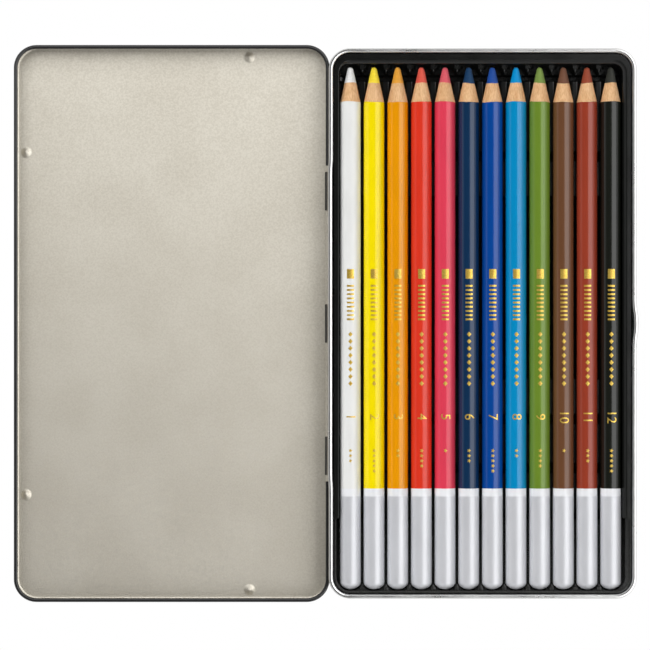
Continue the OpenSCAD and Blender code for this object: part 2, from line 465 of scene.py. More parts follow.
@dataclass(frozen=True)
class BareWood:
    """Pale softwood, cut to a cone by a sharpener's blade: grain along Y, fine rings around it."""

    pale: Color = srgb("EBC294")
    dark: Color = srgb("CC9868")
    grain: float = 0.28 * MM
    grain_stretch: float = 0.06
    pore: Color = srgb("A87447")
    cut: float = 0.16 * MM
    cut_depth: float = 0.012 * MM

    def make(self, name: str) -> bpy.types.Material:
        """Builds the material of that name."""
        sheet = Sheet.of(name)
        streaks = sheet.noise(self.grain, 4.0, (1.0, self.grain_stretch, 1.0))
        bands = sheet.noise(1.8 * MM, 1.0, (1.0, 0.15, 1.0))
        pores = sheet.specks(0.35 * MM, (1.0, 0.12, 1.0))
        mask = streaks.ramp(0.3, 0.75, 0.0, 0.75) + bands.ramp(0.4, 0.7, 0.0, 0.35)
        wood = sheet.blend(mask, self.pale, self.dark)
        color = sheet.blend(pores.ramp(0.0, 0.16, 0.35, 0.0), wood, self.pore)
        rings = sheet.noise(self.cut, 1.0, (0.12, 1.0, 0.12))
        return sheet.finish(
            Base_Color=color,
            Roughness=streaks.spread(0.62, 0.75),
            Specular_IOR_Level=0.25,
            Normal=sheet.bump(rings * 0.6 + streaks * 0.4, self.cut_depth),
        )


@dataclass(frozen=True)
class Chalk:
    """Soft chalky pigment, cut to a cone: grainy, with smeared cutting rings."""

    color: Color
    dust: Color = (0.75, 0.75, 0.74)
    grain: float = 0.11 * MM
    grain_depth: float = 0.012 * MM

    def make(self, name: str) -> bpy.types.Material:
        """Builds the material of that name."""
        sheet = Sheet.of(name)
        grains = sheet.noise(self.grain, 2.0)
        rings = sheet.noise(0.22 * MM, 2.0, (0.15, 1.0, 0.15))
        pits = sheet.specks(0.4 * MM)
        darker = tuple(c * 0.9 for c in self.color)
        color = sheet.blend(rings.spread(0.0, 1.0), darker, self.color)
        chalky = sheet.blend(pits.ramp(0.0, 0.2, 0.12, 0.0), color, self.dust)
        return sheet.finish(
            Base_Color=chalky,
            Roughness=grains.spread(0.55, 0.8),
            Specular_IOR_Level=0.3,
            Normal=sheet.bump(grains * 0.5 + rings * 0.5, self.grain_depth),
        )


@dataclass(frozen=True)
class Foil:
    """Gold foil, hot-stamped on lacquer."""

    color: Color = srgb("EBCB62")
    dull: Color = srgb("C39B35")

    def make(self, name: str) -> bpy.types.Material:
        """Builds the material of that name."""
        sheet = Sheet.of(name)
        worn = sheet.noise(0.3 * MM, 3.0)
        return sheet.finish(
            Base_Color=sheet.blend(worn.ramp(0.35, 0.7, 0.0, 1.0), self.color, self.dull),
            Metallic=worn.ramp(0.3, 0.8, 0.75, 0.55),
            Roughness=worn.spread(0.34, 0.5),
            Normal=sheet.bump(sheet.noise(0.1 * MM), 0.004 * MM),
        )


@dataclass(frozen=True)
class Tinplate:
    """Bright rolled steel sheet with a fine grain along Y."""

    color: Color = (0.8, 0.8, 0.79)
    roughness: float = 0.3
    grain: float = 0.05 * MM

    def make(self, name: str) -> bpy.types.Material:
        """Builds the material of that name."""
        sheet = Sheet.of(name)
        grain = sheet.noise(self.grain, 2.0, (1.0, 0.02, 1.0))
        cloud = sheet.noise(9 * MM, 3.0)
        darker = tuple(c * 0.86 for c in self.color)
        return sheet.finish(
            Base_Color=sheet.blend(grain.spread(0.0, 1.0), darker, self.color),
            Metallic=1.0,
            Roughness=cloud.spread(self.roughness - 0.04, self.roughness + 0.07),
            Normal=sheet.bump(grain, 0.0015 * MM),
        )


@dataclass(frozen=True)
class SatinLacquer:
    """Pale satin lacquer on tinplate, mottled like fine orange peel, with painted shade darkening
    its inner walls away from the hinge.
    """

    pale: Color = srgb("C9C4B8")
    dark: Color = srgb("B9B3A6")
    mottle: float = 0.55 * MM
    roughness: float = 0.46
    # Painted shade: the inner walls darken to this colour above the heights below, fading out
    # towards the hinge.
    wall: Color = srgb("847F74")
    wall_z: tuple[float, float] = (0.7 * MM, 2.6 * MM)
    hinge_x: tuple[float, float] = (-60.0 * MM, -54.0 * MM)

    def make(self, name: str) -> bpy.types.Material:
        """Builds the material of that name."""
        sheet = Sheet.of(name)
        mottle = sheet.noise(self.mottle, 3.0)
        cloud = sheet.noise(24 * MM, 2.0)
        grain = sheet.noise(0.16 * MM, 1.0)
        spots = mottle.spread(0.0, 0.7) + cloud.ramp(0.35, 0.65, 0.0, 0.3)
        face = sheet.blend(spots, self.pale, self.dark)
        # Painted shade: blends the face towards the dark wall colour up the inner walls, except
        # near the hinge.
        across, _, up = sheet.axes()
        wall = up.ramp(*self.wall_z, 0.0, 1.0) * across.ramp(*self.hinge_x, 1.0, 0.0)
        return sheet.finish(
            Base_Color=sheet.blend(wall, face, self.wall),
            Metallic=0.8,
            Roughness=mottle.spread(self.roughness - 0.06, self.roughness + 0.08),
            Coat_Weight=0.12,
            Coat_Roughness=0.3,
            Normal=sheet.bump(mottle * 0.6 + grain * 0.4, 0.008 * MM),
        )


@dataclass(frozen=True)
class BlackLacquer:
    """Gloss black printed lacquer on tinplate."""

    color: Color = (0.008, 0.008, 0.008)
    pale: Color = (0.009, 0.009, 0.009)
    roughness: float = 0.22

    def make(self, name: str) -> bpy.types.Material:
        """Builds the material of that name."""
        sheet = Sheet.of(name)
        peel = sheet.noise(0.5 * MM, 2.0)
        haze = sheet.noise(14 * MM, 3.0)
        return sheet.finish(
            Base_Color=sheet.blend(haze.spread(0.0, 1.0), self.color, self.pale),
            Roughness=haze.spread(self.roughness - 0.01, self.roughness + 0.02),
            Normal=sheet.bump(peel, 0.002 * MM),
        )


@dataclass(frozen=True)
class FormedSheet:
    """Black vacuum-formed plastic with a finely leathered face, and painted light that makes it
    lighter and speckled towards the tray's far end.
    """

    color: Color = (0.003, 0.0032, 0.003)
    pale: Color = (0.0065, 0.0068, 0.0063)
    leather: float = 0.32 * MM
    leather_depth: float = 0.006 * MM
    # Painted light: the lighter colour that the sheet takes towards its far end, between the places
    # along Y below.
    worn: Color = (0.034, 0.034, 0.033)
    worn_y: tuple[float, float] = (-90.0 * MM, -58.0 * MM)

    def make(self, name: str) -> bpy.types.Material:
        """Builds the material of that name."""
        sheet = Sheet.of(name)
        leather = sheet.noise(self.leather, 2.0)
        cloud = sheet.noise(7 * MM, 2.0)
        # Painted light: lighter, speckled and more deeply leathered towards the far end.
        worn = sheet.axes()[1].ramp(*self.worn_y, 1.0, 0.0)
        black = sheet.blend(leather.spread(0.0, 1.0), self.color, self.pale)
        painted_light_speckle = worn * leather.ramp(0.4, 0.62, 0.35, 1.0)
        return sheet.finish(
            Base_Color=sheet.blend(painted_light_speckle, black, self.worn),
            Roughness=cloud.spread(0.2, 0.26),
            Specular_IOR_Level=0.4,
            Normal=sheet.bump(leather * (worn * 2.5 + 1.0), self.leather_depth),
        )


class Tree:
    """A geometry node tree with named inputs, run once to give a plain mesh."""

    def __init__(self, name: str, inputs: dict[str, str]) -> None:
        """Starts a tree.

        Args:
            name: The tree's name.
            inputs: Socket kind of each named input: Float, Int, Vector, Object or Material.
        """
        self.tree = bpy.data.node_groups.new(name, "GeometryNodeTree")
        face = self.tree.interface
        face.new_socket("Geometry", in_out="OUTPUT", socket_type="NodeSocketGeometry")
        self.keys = {
            word: face.new_socket(word, in_out="INPUT", socket_type="NodeSocket" + kind).identifier
            for word, kind in inputs.items()
        }
        self.given = self.tree.nodes.new("NodeGroupInput")
        self.result = self.tree.nodes.new("NodeGroupOutput")

    def get(self, word: str) -> bpy.types.NodeSocket:
        """The named input of the tree."""
        return self.given.outputs[word]

    def add(self, kind: str, settings: Any = None, values: Any = None) -> bpy.types.Node:
        """Adds a node, as grow() does."""
        return grow(self.tree, kind, settings, values)

    def math(self, operation: str, first: Any, second: Any = 0.0) -> bpy.types.Node:
        """Adds a Math node over one or two terms."""
        return self.add("ShaderNodeMath", {"operation": operation}, {0: first, 1: second})

    def close(self, shape: bpy.types.Node) -> None:
        """Ends the tree in plain geometry with one material."""
        real = self.add("GeometryNodeRealizeInstances", values={0: shape})
        finish = {0: real, "Material": self.get("Finish")}
        dressed = self.add("GeometryNodeSetMaterial", values=finish)
        self.tree.links.new(dressed.outputs[0], self.result.inputs[0])

    def run(self, name: str, values: dict[str, Any]) -> Piece:
        """Runs the tree with its inputs set.

        Args:
            name: Name of the new piece.
            values: The inputs' values by name.

        Returns:
            The result as a plain mesh.
        """
        holder = Piece(name + "_path", [], []).object
        modifier = holder.modifiers.new("Shape", "NODES")
        modifier.node_group = self.tree
        for word, value in values.items():
            modifier[self.keys[word]] = value
        mesh = evaluated(holder)
        holder.modifiers.clear()
        bpy.data.objects.remove(holder)
        return Piece.from_mesh(name, mesh)


class DrawnSheet(Tree):
    """Sweeps a sheet's section round a rectangle with round corners.

    The section is an object of edges whose x counts outwards from the path and whose y counts
    down. The path may be pushed outwards around a place on each of its two long sides.
    """

    INPUTS = {
        "Section": "Object",
        "Width": "Float",
        "Length": "Float",
        "Corner": "Float",
        "Center": "Vector",
        "Front push": "Float",
        "Front ease": "Float",
        "Front reach": "Float",
        "Rear push": "Float",
        "Rear ease": "Float",
        "Rear reach": "Float",
        "Finish": "Material",
    }
    STEP = 1.5 * MM
    CORNER_POINTS = 20

    def __init__(self) -> None:
        """Builds the tree."""
        super().__init__("drawn_sheet", self.INPUTS)
        sides = self.add(
            "GeometryNodeCurvePrimitiveQuadrilateral",
            values={"Width": self.get("Width"), "Height": self.get("Length")},
        )
        round_path = self.add(
            "GeometryNodeFilletCurve",
            {"mode": "POLY"},
            {0: sides, "Count": self.CORNER_POINTS, "Radius": self.get("Corner")},
        )
        cuts = self._cuts()
        path = self.add("GeometryNodeSubdivideCurve", values={0: round_path, "Cuts": cuts})
        pushed = self.add("GeometryNodeSetPosition", values={0: path, "Offset": self._push()})
        upright = self.add("GeometryNodeSetCurveNormal", {"mode": "Z_UP"}, {0: pushed})
        section = self.add("GeometryNodeObjectInfo", values={"Object": self.get("Section")})
        profile = self.add("GeometryNodeMeshToCurve", values={0: section.outputs["Geometry"]})
        swept = self.add(
            "GeometryNodeCurveToMesh",
            values={"Curve": upright, "Profile Curve": profile},
        )
        placed = self.add(
            "GeometryNodeTransform", values={0: swept, "Translation": self.get("Center")}
        )
        self.close(placed)

    def _cuts(self) -> bpy.types.Node:
        """How often each stretch of the path is cut, so that no stretch is much over a step."""
        position = self.add("GeometryNodeInputPosition")
        following = self.add(
            "GeometryNodeFieldAtIndex",
            {"data_type": "FLOAT_VECTOR"},
            {"Index": self._next_index(), "Value": position},
        )
        span = self.add(
            "ShaderNodeVectorMath", {"operation": "DISTANCE"}, {0: position, 1: following}
        )
        return self.math("FLOOR", self.math("DIVIDE", span.outputs["Value"], self.STEP))

    def _next_index(self) -> bpy.types.NodeSocket:
        """Index of the next point along the path."""
        return self.add("GeometryNodeOffsetPointInCurve", values={"Offset": 1}).outputs[
            "Point Index"
        ]

    def _push(self) -> bpy.types.Node:
        """How far each point moves along X, out of the rectangle."""
        place = self.add("ShaderNodeSeparateXYZ", values={0: self.add("GeometryNodeInputPosition")})
        along = self.math("ABSOLUTE", place.outputs["Y"])
        edge = self.math("MULTIPLY", self.get("Width"), 0.4999)
        front = self.math("GREATER_THAN", place.outputs["X"], edge)
        rear = self.math("LESS_THAN", place.outputs["X"], self.math("MULTIPLY", edge, -1.0))
        shift = self.math(
            "SUBTRACT",
            self.math("MULTIPLY", front, self._hump(along, "Front")),
            self.math("MULTIPLY", rear, self._hump(along, "Rear")),
        )
        return self.add("ShaderNodeCombineXYZ", values={"X": shift})

    def _hump(self, along: bpy.types.Node, side: str) -> bpy.types.NodeSocket:
        """A side's push, whole up to its ease from the side's middle and none past its reach."""
        return self.add(
            "ShaderNodeMapRange",
            {"interpolation_type": "SMOOTHERSTEP"},
            {
                "Value": along,
                "From Min": self.get(side + " ease"),
                "From Max": self.get(side + " reach"),
                "To Min": self.get(side + " push"),
                "To Max": 0.0,
            },
        ).outputs["Result"]


class PrintedRow(Tree):
    """Sets copies of a mark along a barrel and bends them round it.

    The mark is an object whose x counts along the barrel's girth, y along its length and z
    outwards from its surface.
    """

    INPUTS = {
        "Mark": "Object",
        "Count": "Int",
        "Start": "Vector",
        "Pitch": "Float",
        "Radius": "Float",
        "Finish": "Material",
    }

    def __init__(self) -> None:
        """Builds the tree."""
        super().__init__("printed_row", self.INPUTS)
        step = self.add("ShaderNodeCombineXYZ", values={"Y": self.get("Pitch")})
        line = self.add(
            "GeometryNodeMeshLine",
            {"mode": "OFFSET"},
            {"Count": self.get("Count"), "Offset": step},
        )
        mark = self.add("GeometryNodeObjectInfo", values={"Object": self.get("Mark")})
        copies = self.add(
            "GeometryNodeInstanceOnPoints", values={0: line, "Instance": mark.outputs["Geometry"]}
        )
        flat = self.add("GeometryNodeRealizeInstances", values={0: copies})
        bent = self.add("GeometryNodeSetPosition", values={0: flat, "Position": self._wrap()})
        start = {0: bent, "Translation": self.get("Start")}
        self.close(self.add("GeometryNodeTransform", values=start))

    def _wrap(self) -> bpy.types.Node:
        """Where each point lies once its row is bent round the barrel's axis."""
        place = self.add("ShaderNodeSeparateXYZ", values={0: self.add("GeometryNodeInputPosition")})
        turn = self.math("DIVIDE", place.outputs["X"], self.get("Radius"))
        out = self.math("ADD", self.get("Radius"), place.outputs["Z"])
        across = self.math("MULTIPLY", out, self.math("SINE", turn))
        up = self.math("MULTIPLY", out, self.math("COSINE", turn))
        return self.add(
            "ShaderNodeCombineXYZ", values={"X": across, "Y": place.outputs["Y"], "Z": up}
        )


@dataclass
class Turned:
    """A closed piece turned about a pencil's axis, ring by ring from the back towards the tip."""

    axis: Vector
    around: int = 96
    points: list[Point] = field(default_factory=list)
    faces: list[tuple[int, ...]] = field(default_factory=list)
    slots: list[int] = field(default_factory=list)
    slot: int = 0
    rings: int = 0

    def _face(self, *corners: int) -> None:
        """Adds a face with the current material slot."""
        self.faces.append(corners)
        self.slots.append(self.slot)

    def pole(self, y: float) -> None:
        """Adds the single point on the axis that closes an end."""
        self.points.append((self.axis.x, y, self.axis.z))
        if self.rings:
            first = len(self.points) - 1 - self.around
            for at in range(self.around):
                self._face(first + at, first + (at + 1) % self.around, len(self.points) - 1)

    def ring(self, place: Callable[[float], tuple[float, float]]) -> None:
        """Adds a ring and joins it to what came before.

        Args:
            place: Gives the radius and the y of the ring's point at an angle.
        """
        start = len(self.points)
        for at in range(self.around):
            angle = 2 * math.pi * at / self.around
            radius, y = place(angle)
            x = self.axis.x + radius * math.sin(angle)
            self.points.append((x, y, self.axis.z + radius * math.cos(angle)))
        for at in range(self.around):
            after = (at + 1) % self.around
            if self.rings:
                low = start - self.around
                self._face(low + at, start + at, start + after, low + after)
            else:
                self._face(start - 1, start + at, start + after)
        self.rings += 1

    def disc(self, radius: float, y: float) -> None:
        """Adds a plain round ring."""
        self.ring(lambda angle: (radius, y))

    def piece(self, name: str, materials: Sequence[bpy.types.Material]) -> Piece:
        """Makes the piece, with the materials of its slots."""
        made = Piece(name, self.points, self.faces).dress(materials)
        made.mesh.polygons.foreach_set("material_index", self.slots)
        return made.orient()


@dataclass
class Print:
    """The gold printing on a barrel: plain marks and the pencil's place in the row."""

    trees: PrintedRow
    foil: bpy.types.Material
    film: float = 0.012 * MM
    sink: float = 0.03 * MM
    block_y: float = 16.6 * MM
    block_size: tuple[float, float] = (2.4 * MM, 3.2 * MM)
    bar_y: float = 12.6 * MM
    bar_pitch: float = 1.4 * MM
    bar_size: tuple[float, float] = (2.4 * MM, 0.6 * MM)
    bars: int = 9
    diamond_y: float = -3.6 * MM
    diamond_pitch: float = 2.35 * MM
    diamond_size: tuple[float, float] = (1.5 * MM, 1.7 * MM)
    diamonds: int = 8
    digit_y: float = -31.2 * MM
    digit_size: float = 4.6 * MM
    star_y: float = -42.5 * MM
    star_pitch: float = 1.7 * MM
    star_out: float = 0.72 * MM
    star_waist: float = 0.45
    strip: float = 0.3 * MM

    def _plate(self, outline: Sequence[tuple[float, float]]) -> bpy.types.Object:
        """Makes a mark from its outline: a thin plate cut in strips that can be bent."""
        count = len(outline)
        points = [(x, y, z) for z in (-self.sink, self.film) for x, y in outline]
        faces = [tuple(reversed(range(count))), tuple(range(count, 2 * count))]
        faces += [(i, (i + 1) % count, count + (i + 1) % count, count + i) for i in range(count)]
        return self._strips(Piece("mark", points, faces))

    def _strips(self, piece: Piece) -> bpy.types.Object:
        """Cuts a plate across its width every strip."""
        with piece.edit() as shape:
            reach = math.ceil(max(abs(v.co.x) for v in shape.verts) / self.strip)
            for at in range(-reach, reach + 1):
                geometry = [*shape.verts, *shape.edges, *shape.faces]
                cut = {"plane_co": (at * self.strip, 0, 0), "plane_no": (1, 0, 0)}
                bmesh.ops.bisect_plane(shape, geom=geometry, **cut)
        return piece.object

    @staticmethod
    def _oblong(size: tuple[float, float]) -> list[tuple[float, float]]:
        """Outline of a plain oblong of a width and a length."""
        across, along = size[0] / 2, size[1] / 2
        return [(-across, -along), (across, -along), (across, along), (-across, along)]

    def _number(self, number: int) -> bpy.types.Object:
        """Makes the digits of a number, which read down the barrel."""
        curve = bpy.data.curves.new("digits", "FONT")
        curve.body = str(number)
        curve.align_x = "CENTER"
        curve.align_y = "CENTER"
        curve.size = self.digit_size
        curve.extrude = (self.film + self.sink) / 2
        curve.resolution_u = 4
        holder = linked("digits", curve)
        mesh = evaluated(holder)
        bpy.data.objects.remove(holder)
        for vertex in mesh.vertices:
            x, y, z = vertex.co
            vertex.co = (y, -x, z + (self.film - self.sink) / 2)
        return self._strips(Piece.from_mesh("mark", mesh).orient(merge=self.film / 10))

    def _star(self) -> list[tuple[float, float]]:
        """Outline of a five-pointed star that points to the barrel's front side."""
        points = []
        for at in range(10):
            radius = self.star_out * (1.0 if at % 2 == 0 else self.star_waist)
            angle = math.pi * at / 5
            points.append((radius * math.cos(angle), radius * math.sin(angle)))
        return points

    def _row(
        self,
        name: str,
        mark: bpy.types.Object,
        count: int,
        start: Vector,
        pitch: float,
        radius: float,
    ) -> Piece:
        """Runs the tree for one row of a mark, then drops the mark's own object.

        Args:
            name: Name of the row.
            mark: The mark's object.
            count: How many copies there are.
            start: Place of the first copy, on the barrel's axis.
            pitch: How far the copies lie apart.
            radius: Outer radius of the lacquer.

        Returns:
            The row as a piece.
        """
        values = {
            "Mark": mark,
            "Count": count,
            "Start": start,
            "Pitch": -pitch,
            "Radius": radius,
            "Finish": self.foil,
        }
        piece = self.trees.run(name, values)
        bpy.data.objects.remove(mark)
        return piece

    def build(self, number: int, stars: int, axis: Vector, radius: float) -> list[Piece]:
        """Makes a barrel's marks.

        Args:
            number: The pencil's place in the row, from 1.
            stars: How many stars it has.
            axis: Any point on the barrel's axis.
            radius: Outer radius of its lacquer.

        Returns:
            The rows as pieces.
        """
        bar, block = self._oblong(self.bar_size), self._oblong(self.block_size)
        across, along = self.diamond_size[0] / 2, self.diamond_size[1] / 2
        diamond = [(-across, 0.0), (0.0, -along), (across, 0.0), (0.0, along)]
        rows = (
            ("block", self._plate(block), 1, self.block_y, 0.0),
            ("bars", self._plate(bar), self.bars, self.bar_y, self.bar_pitch),
            ("diamonds", self._plate(diamond), self.diamonds, self.diamond_y, self.diamond_pitch),
            ("digits", self._number(number), 1, self.digit_y, 0.0),
            ("stars", self._plate(self._star()), stars, self.star_y, self.star_pitch),
        )
        return [
            self._row(word, mark, count, Vector((axis.x, y, axis.z)), pitch, radius)
            for word, mark, count, y, pitch in rows
        ]


@dataclass
class Pencil:
    """A round colored pencil: a wooden barrel with its coats, its lead and its printing."""

    paint: Paint
    number: int
    stars: int
    print: Print
    wood: bpy.types.Material
    band: bpy.types.Material
    cap: bpy.types.Material
    cap_l: float = 31.25 * MM
    band_l: float = 2.7 * MM
    dome_l: float = 2.0 * MM
    cone_l: float = 12.0 * MM
    coat: float = 0.035 * MM
    coat_wave: float = 0.26 * MM
    lead_wave: float = 0.3 * MM
    tip_r: float = 1.0 * MM
    lead_stop: float = 3.2 * MM
    bore_reach: float = 4.0 * MM
    search_step: float = 0.02 * MM
    coat_reach: float = 0.3 * MM
    coat_round: float = 0.01 * MM
    coat_shoulder: tuple[float, float] = (0.4 * MM, 0.06 * MM)
    coat_lip: float = 0.03 * MM
    wood_lip: float = 0.02 * MM
    band_share: float = 0.6
    cut_share: float = 1.2
    wave_turn: float = 1.7
    paint_edge: float = 0.08 * MM
    dome_steps: int = 10
    tip_steps: int = 7
    dome_edge: tuple[tuple[float, float], ...] = ((0.975, 1.0), (0.992, 1.08), (1.0, 1.2))

    def __post_init__(self) -> None:
        """Takes the pencil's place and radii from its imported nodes."""
        barrel = Box.of("barrel_" + self.paint.word)
        lead = Box.of("lead_" + self.paint.word)
        self.axis = barrel.center
        self.radius = barrel.size.x / 2
        self.lead_r = lead.size.x / 2
        self.back = barrel.low.y
        self.tip = lead.high.y
        self.cone_y = self.tip - self.cone_l

    def _wave(self, angle: float, depth: float, turns: Sequence[int]) -> float:
        """A small closed wave round the barrel, different on each pencil."""
        total = sum(math.sin(n * angle + n * n * self.number * self.wave_turn) / n for n in turns)
        return depth * total / 2

    def _cone_radius(self, y: float) -> float:
        """Radius of the sharpened cone at a distance along the pencil."""
        run = self.cone_l - self.tip_r
        lean = math.atan2(self.radius, run) - math.asin(self.tip_r / math.hypot(run, self.radius))
        return self.radius - (y - self.cone_y) * math.tan(lean)

    def _lead_edge(self, angle: float) -> tuple[float, float]:
        """Where wood and lead meet on the cone."""
        y = self.cone_y
        while self._cone_radius(y) > self.lead_r:
            y += self.search_step
        y += self._wave(angle, self.lead_wave, (1, 2, 5))
        return self._cone_radius(y), y

    def _coat_edge(self, angle: float) -> tuple[float, float]:
        """Where the lacquer ends on the cone."""
        y = self.cone_y + self.coat_reach + self._wave(angle, self.coat_wave, (1, 3, 4))
        return self._cone_radius(y), y

    def _dome(self, shape: Turned) -> None:
        """Adds the rings of the dipped back end: a low dome that meets the barrel in an edge."""
        shape.pole(self.back)
        ball = (self.radius**2 + self.dome_l**2) / (2 * self.dome_l)
        reach = math.asin(self.radius / ball)
        for at in range(1, self.dome_steps):
            turn = reach * at / self.dome_steps
            shape.disc(ball * math.sin(turn), self.back + ball * (1 - math.cos(turn)))
        for share, rise in self.dome_edge:
            shape.disc(self.radius * share, self.back + self.dome_l * rise)

    def _barrel(self) -> Piece:
        """Makes the barrel: its coats, the bare cone and the bore that the lead fills."""
        lacquer, band, cap, wood = range(4)
        shape = Turned(self.axis, slot=cap)
        self._dome(shape)
        cap_y = self.back + self.cap_l
        band_y = cap_y + self.band_l
        step, edge = self.coat * self.band_share, self.paint_edge
        bare = self.radius - self.coat
        shape.disc(self.radius, cap_y - edge)
        shape.disc(self.radius - step / 2, cap_y)
        shape.disc(self.radius - step, cap_y + edge)
        shape.slot = band
        shape.disc(self.radius - step, band_y - edge)
        shape.disc(bare + step / 4, band_y)
        shape.slot = lacquer
        shape.disc(bare, band_y + edge)
        for share in (0.25, 0.5, 0.75):
            shape.disc(bare, mix(band_y, self.cone_y, share))
        shape.disc(bare, self.cone_y - self.coat_shoulder[0])
        shape.disc(bare - self.coat_round, self.cone_y - self.coat_shoulder[1])

        def rim(angle: float) -> tuple[float, float]:
            """The lacquer's cut edge."""
            radius, y = self._coat_edge(angle)
            return radius - self.coat_round, y - self.coat_lip

        def cut(angle: float) -> tuple[float, float]:
            """The wood just under that edge."""
            radius, y = self._coat_edge(angle)
            return radius - self.coat * self.cut_share, y + self.wood_lip

        shape.ring(rim)
        shape.ring(cut)
        shape.slot = wood
        for share in (0.12, 0.3, 0.55, 0.8, 1.0):
            shape.ring(lambda angle, s=share: self._between(cut, self._lead_edge, angle, s))
        shape.disc(self.lead_r, self.cone_y + self.bore_reach)
        shape.disc(self.lead_r, self.back + self.lead_stop)
        shape.pole(self.back + self.lead_stop)
        color = Lacquer(self.paint.lacquer).make("lacquer_" + self.paint.word)
        return shape.piece("barrel_" + self.paint.word, [color, self.band, self.cap, self.wood])

    @staticmethod
    def _between(
        start: Callable[[float], tuple[float, float]],
        end: Callable[[float], tuple[float, float]],
        angle: float,
        share: float,
    ) -> tuple[float, float]:
        """A point of a ring that lies between two others."""
        (r0, y0), (r1, y1) = start(angle), end(angle)
        return mix(r0, r1, share), mix(y0, y1, share)

    def _lead(self) -> Piece:
        """Makes the lead: a rod in the bore, sharpened with the wood to a blunt round tip."""
        shape = Turned(self.axis)
        shape.pole(self.back + self.lead_stop)
        shape.disc(self.lead_r, self.back + self.lead_stop)
        shape.disc(self.lead_r, self.cone_y + self.bore_reach)
        shape.ring(self._lead_edge)
        center = self.tip - self.tip_r
        lean = math.atan2(self.radius - self._cone_radius(center), center - self.cone_y)
        touch_y = center + self.tip_r * math.sin(lean)
        touch_r = self.tip_r * math.cos(lean)

        def touch(_: float) -> tuple[float, float]:
            """Where the cone turns into the round tip."""
            return touch_r, touch_y

        for share in (0.3, 0.6, 1.0):
            shape.ring(lambda angle, s=share: self._between(self._lead_edge, touch, angle, s))
        for at in range(1, self.tip_steps):
            turn = mix(lean, math.pi / 2, at / self.tip_steps)
            shape.disc(self.tip_r * math.cos(turn), center + self.tip_r * math.sin(turn))
        shape.pole(self.tip)
        chalk = Chalk(self.paint.pigment).make("pigment_" + self.paint.word)
        return shape.piece("lead_" + self.paint.word, [chalk])

    def build(self) -> None:
        """Makes the pencil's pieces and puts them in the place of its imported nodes."""
        word = self.paint.word
        body = "pencil_" + word
        self._barrel().soften(30).settle(body, "lacquer_" + word, "barrel_" + word)
        self._lead().soften(50).settle(body, "pigment_" + word, "lead_" + word)
        rows = self.print.build(self.number, self.stars, self.axis, self.radius - self.coat)
        for row in rows:
            row.object.name = f"print_{row.object.name}_{word}"
            row.settle(body, "lacquer_" + word)


def arc(center: tuple[float, float], radius: float, start: float, end: float, steps: int) -> list:
    """Points of an arc in a section, angles in degrees from x towards y."""
    points = []
    for at in range(steps + 1):
        angle = math.radians(mix(start, end, at / steps))
        points.append((center[0] + radius * math.cos(angle), center[1] + radius * math.sin(angle)))
    return points


@dataclass
class Drawn:
    """A pan drawn from sheet: a floor, a bend, a wall and a rolled edge, in one piece."""

    tree: DrawnSheet
    finishes: Sequence[bpy.types.Material]
    sheet: float = 0.3 * MM
    floor_inset: float = 6.6 * MM
    floor_steps: int = 6
    fine: int = 10
    corner: float = 7.2 * MM

    def _floor_line(self, bend: float, wall: float, height: float) -> list:
        """Points of the floor in a section, from its inner edge up to the bend."""
        start, end = -self.floor_inset, -wall - bend
        return [(mix(start, end, at / self.floor_steps), height) for at in range(self.floor_steps)]

    def section(self, bend: float, wall: float, top: float, roll: float, turn: float) -> list:
        """The sheet's section as an open line, x counting outwards from the rim's outline.

        Args:
            bend: Outer radius of the bend from floor to wall.
            wall: How far the wall's outer face lies inside the rim's outline.
            top: Height of the rolled edge's center.
            roll: Outer radius of the rolled edge.
            turn: Angle in degrees through which the edge rolls, below 0 where it rolls outwards.

        Returns:
            The points, along the outer face, round the roll and back along the inner face.
        """
        knee = (-wall - bend, bend)
        outer = self._floor_line(bend, wall, 0.0) + arc(knee, bend, -90, 0, self.fine)
        inner = self._floor_line(bend, wall, self.sheet)
        inner += arc(knee, bend - self.sheet, -90, 0, self.fine)
        start = 180.0 if turn < 0 else 0.0
        first, second = (roll - self.sheet, roll) if turn < 0 else (roll, roll - self.sheet)
        there = arc((-roll, top), first, start, start + turn, 3 * self.fine)
        back = arc((-roll, top), second, start + turn, start, 3 * self.fine)
        return outer + there + back + list(reversed(inner))

    def sweep(self, name: str, line: list, values: dict[str, Any]) -> Piece:
        """Sweeps a section along the rim's outline and closes the floor.

        Args:
            name: The piece's name.
            line: The section.
            values: The tree's inputs that differ from a rectangle at the origin, not pushed.

        Returns:
            The closed sheet.
        """
        points = [(x, -z, 0.0) for x, z in line]
        holder = Piece("section", points, [])
        holder.mesh.edges.add(len(points) - 1)
        for at, edge in enumerate(holder.mesh.edges):
            edge.vertices = (at, at + 1)
        still = {side + word: 0.0 for side in ("Front ", "Rear ") for word in ("push", "ease")}
        reach = {side + " reach": self.corner for side in ("Front", "Rear")}
        common = {"Section": holder.object, "Finish": self.finishes[0], "Corner": self.corner}
        values = {"Center": (0.0, 0.0, 0.0), **still, **reach, **common, **values}
        piece = self.tree.run(name, values)
        bpy.data.objects.remove(holder.object)
        with piece.edit() as shape:
            bmesh.ops.remove_doubles(shape, verts=shape.verts, dist=self.sheet / 100)
            rims = [edge for edge in shape.edges if edge.is_boundary]
            bmesh.ops.holes_fill(shape, edges=rims, sides=0)
            bmesh.ops.recalc_face_normals(shape, faces=shape.faces)
        return piece

    @staticmethod
    def cut(piece: Piece, low: Point, high: Point) -> None:
        """Cuts a box out of a piece."""
        ends = list(zip(low, high))
        corners = [(x, y, z) for x in ends[0] for y in ends[1] for z in ends[2]]
        faces = [(0, 1, 3, 2), (4, 6, 7, 5), (0, 4, 5, 1), (2, 3, 7, 6), (0, 2, 6, 4), (1, 5, 7, 3)]
        tool = Piece("cutter", corners, faces).orient()
        modifier = piece.object.modifiers.new("Cut", "BOOLEAN")
        modifier.object = tool.object
        modifier.operation = "DIFFERENCE"
        modifier.solver = "EXACT"
        mesh = evaluated(piece.object)
        piece.object.modifiers.clear()
        old = piece.object.data
        piece.object.data = mesh
        bpy.data.meshes.remove(old)
        bpy.data.objects.remove(tool.object)


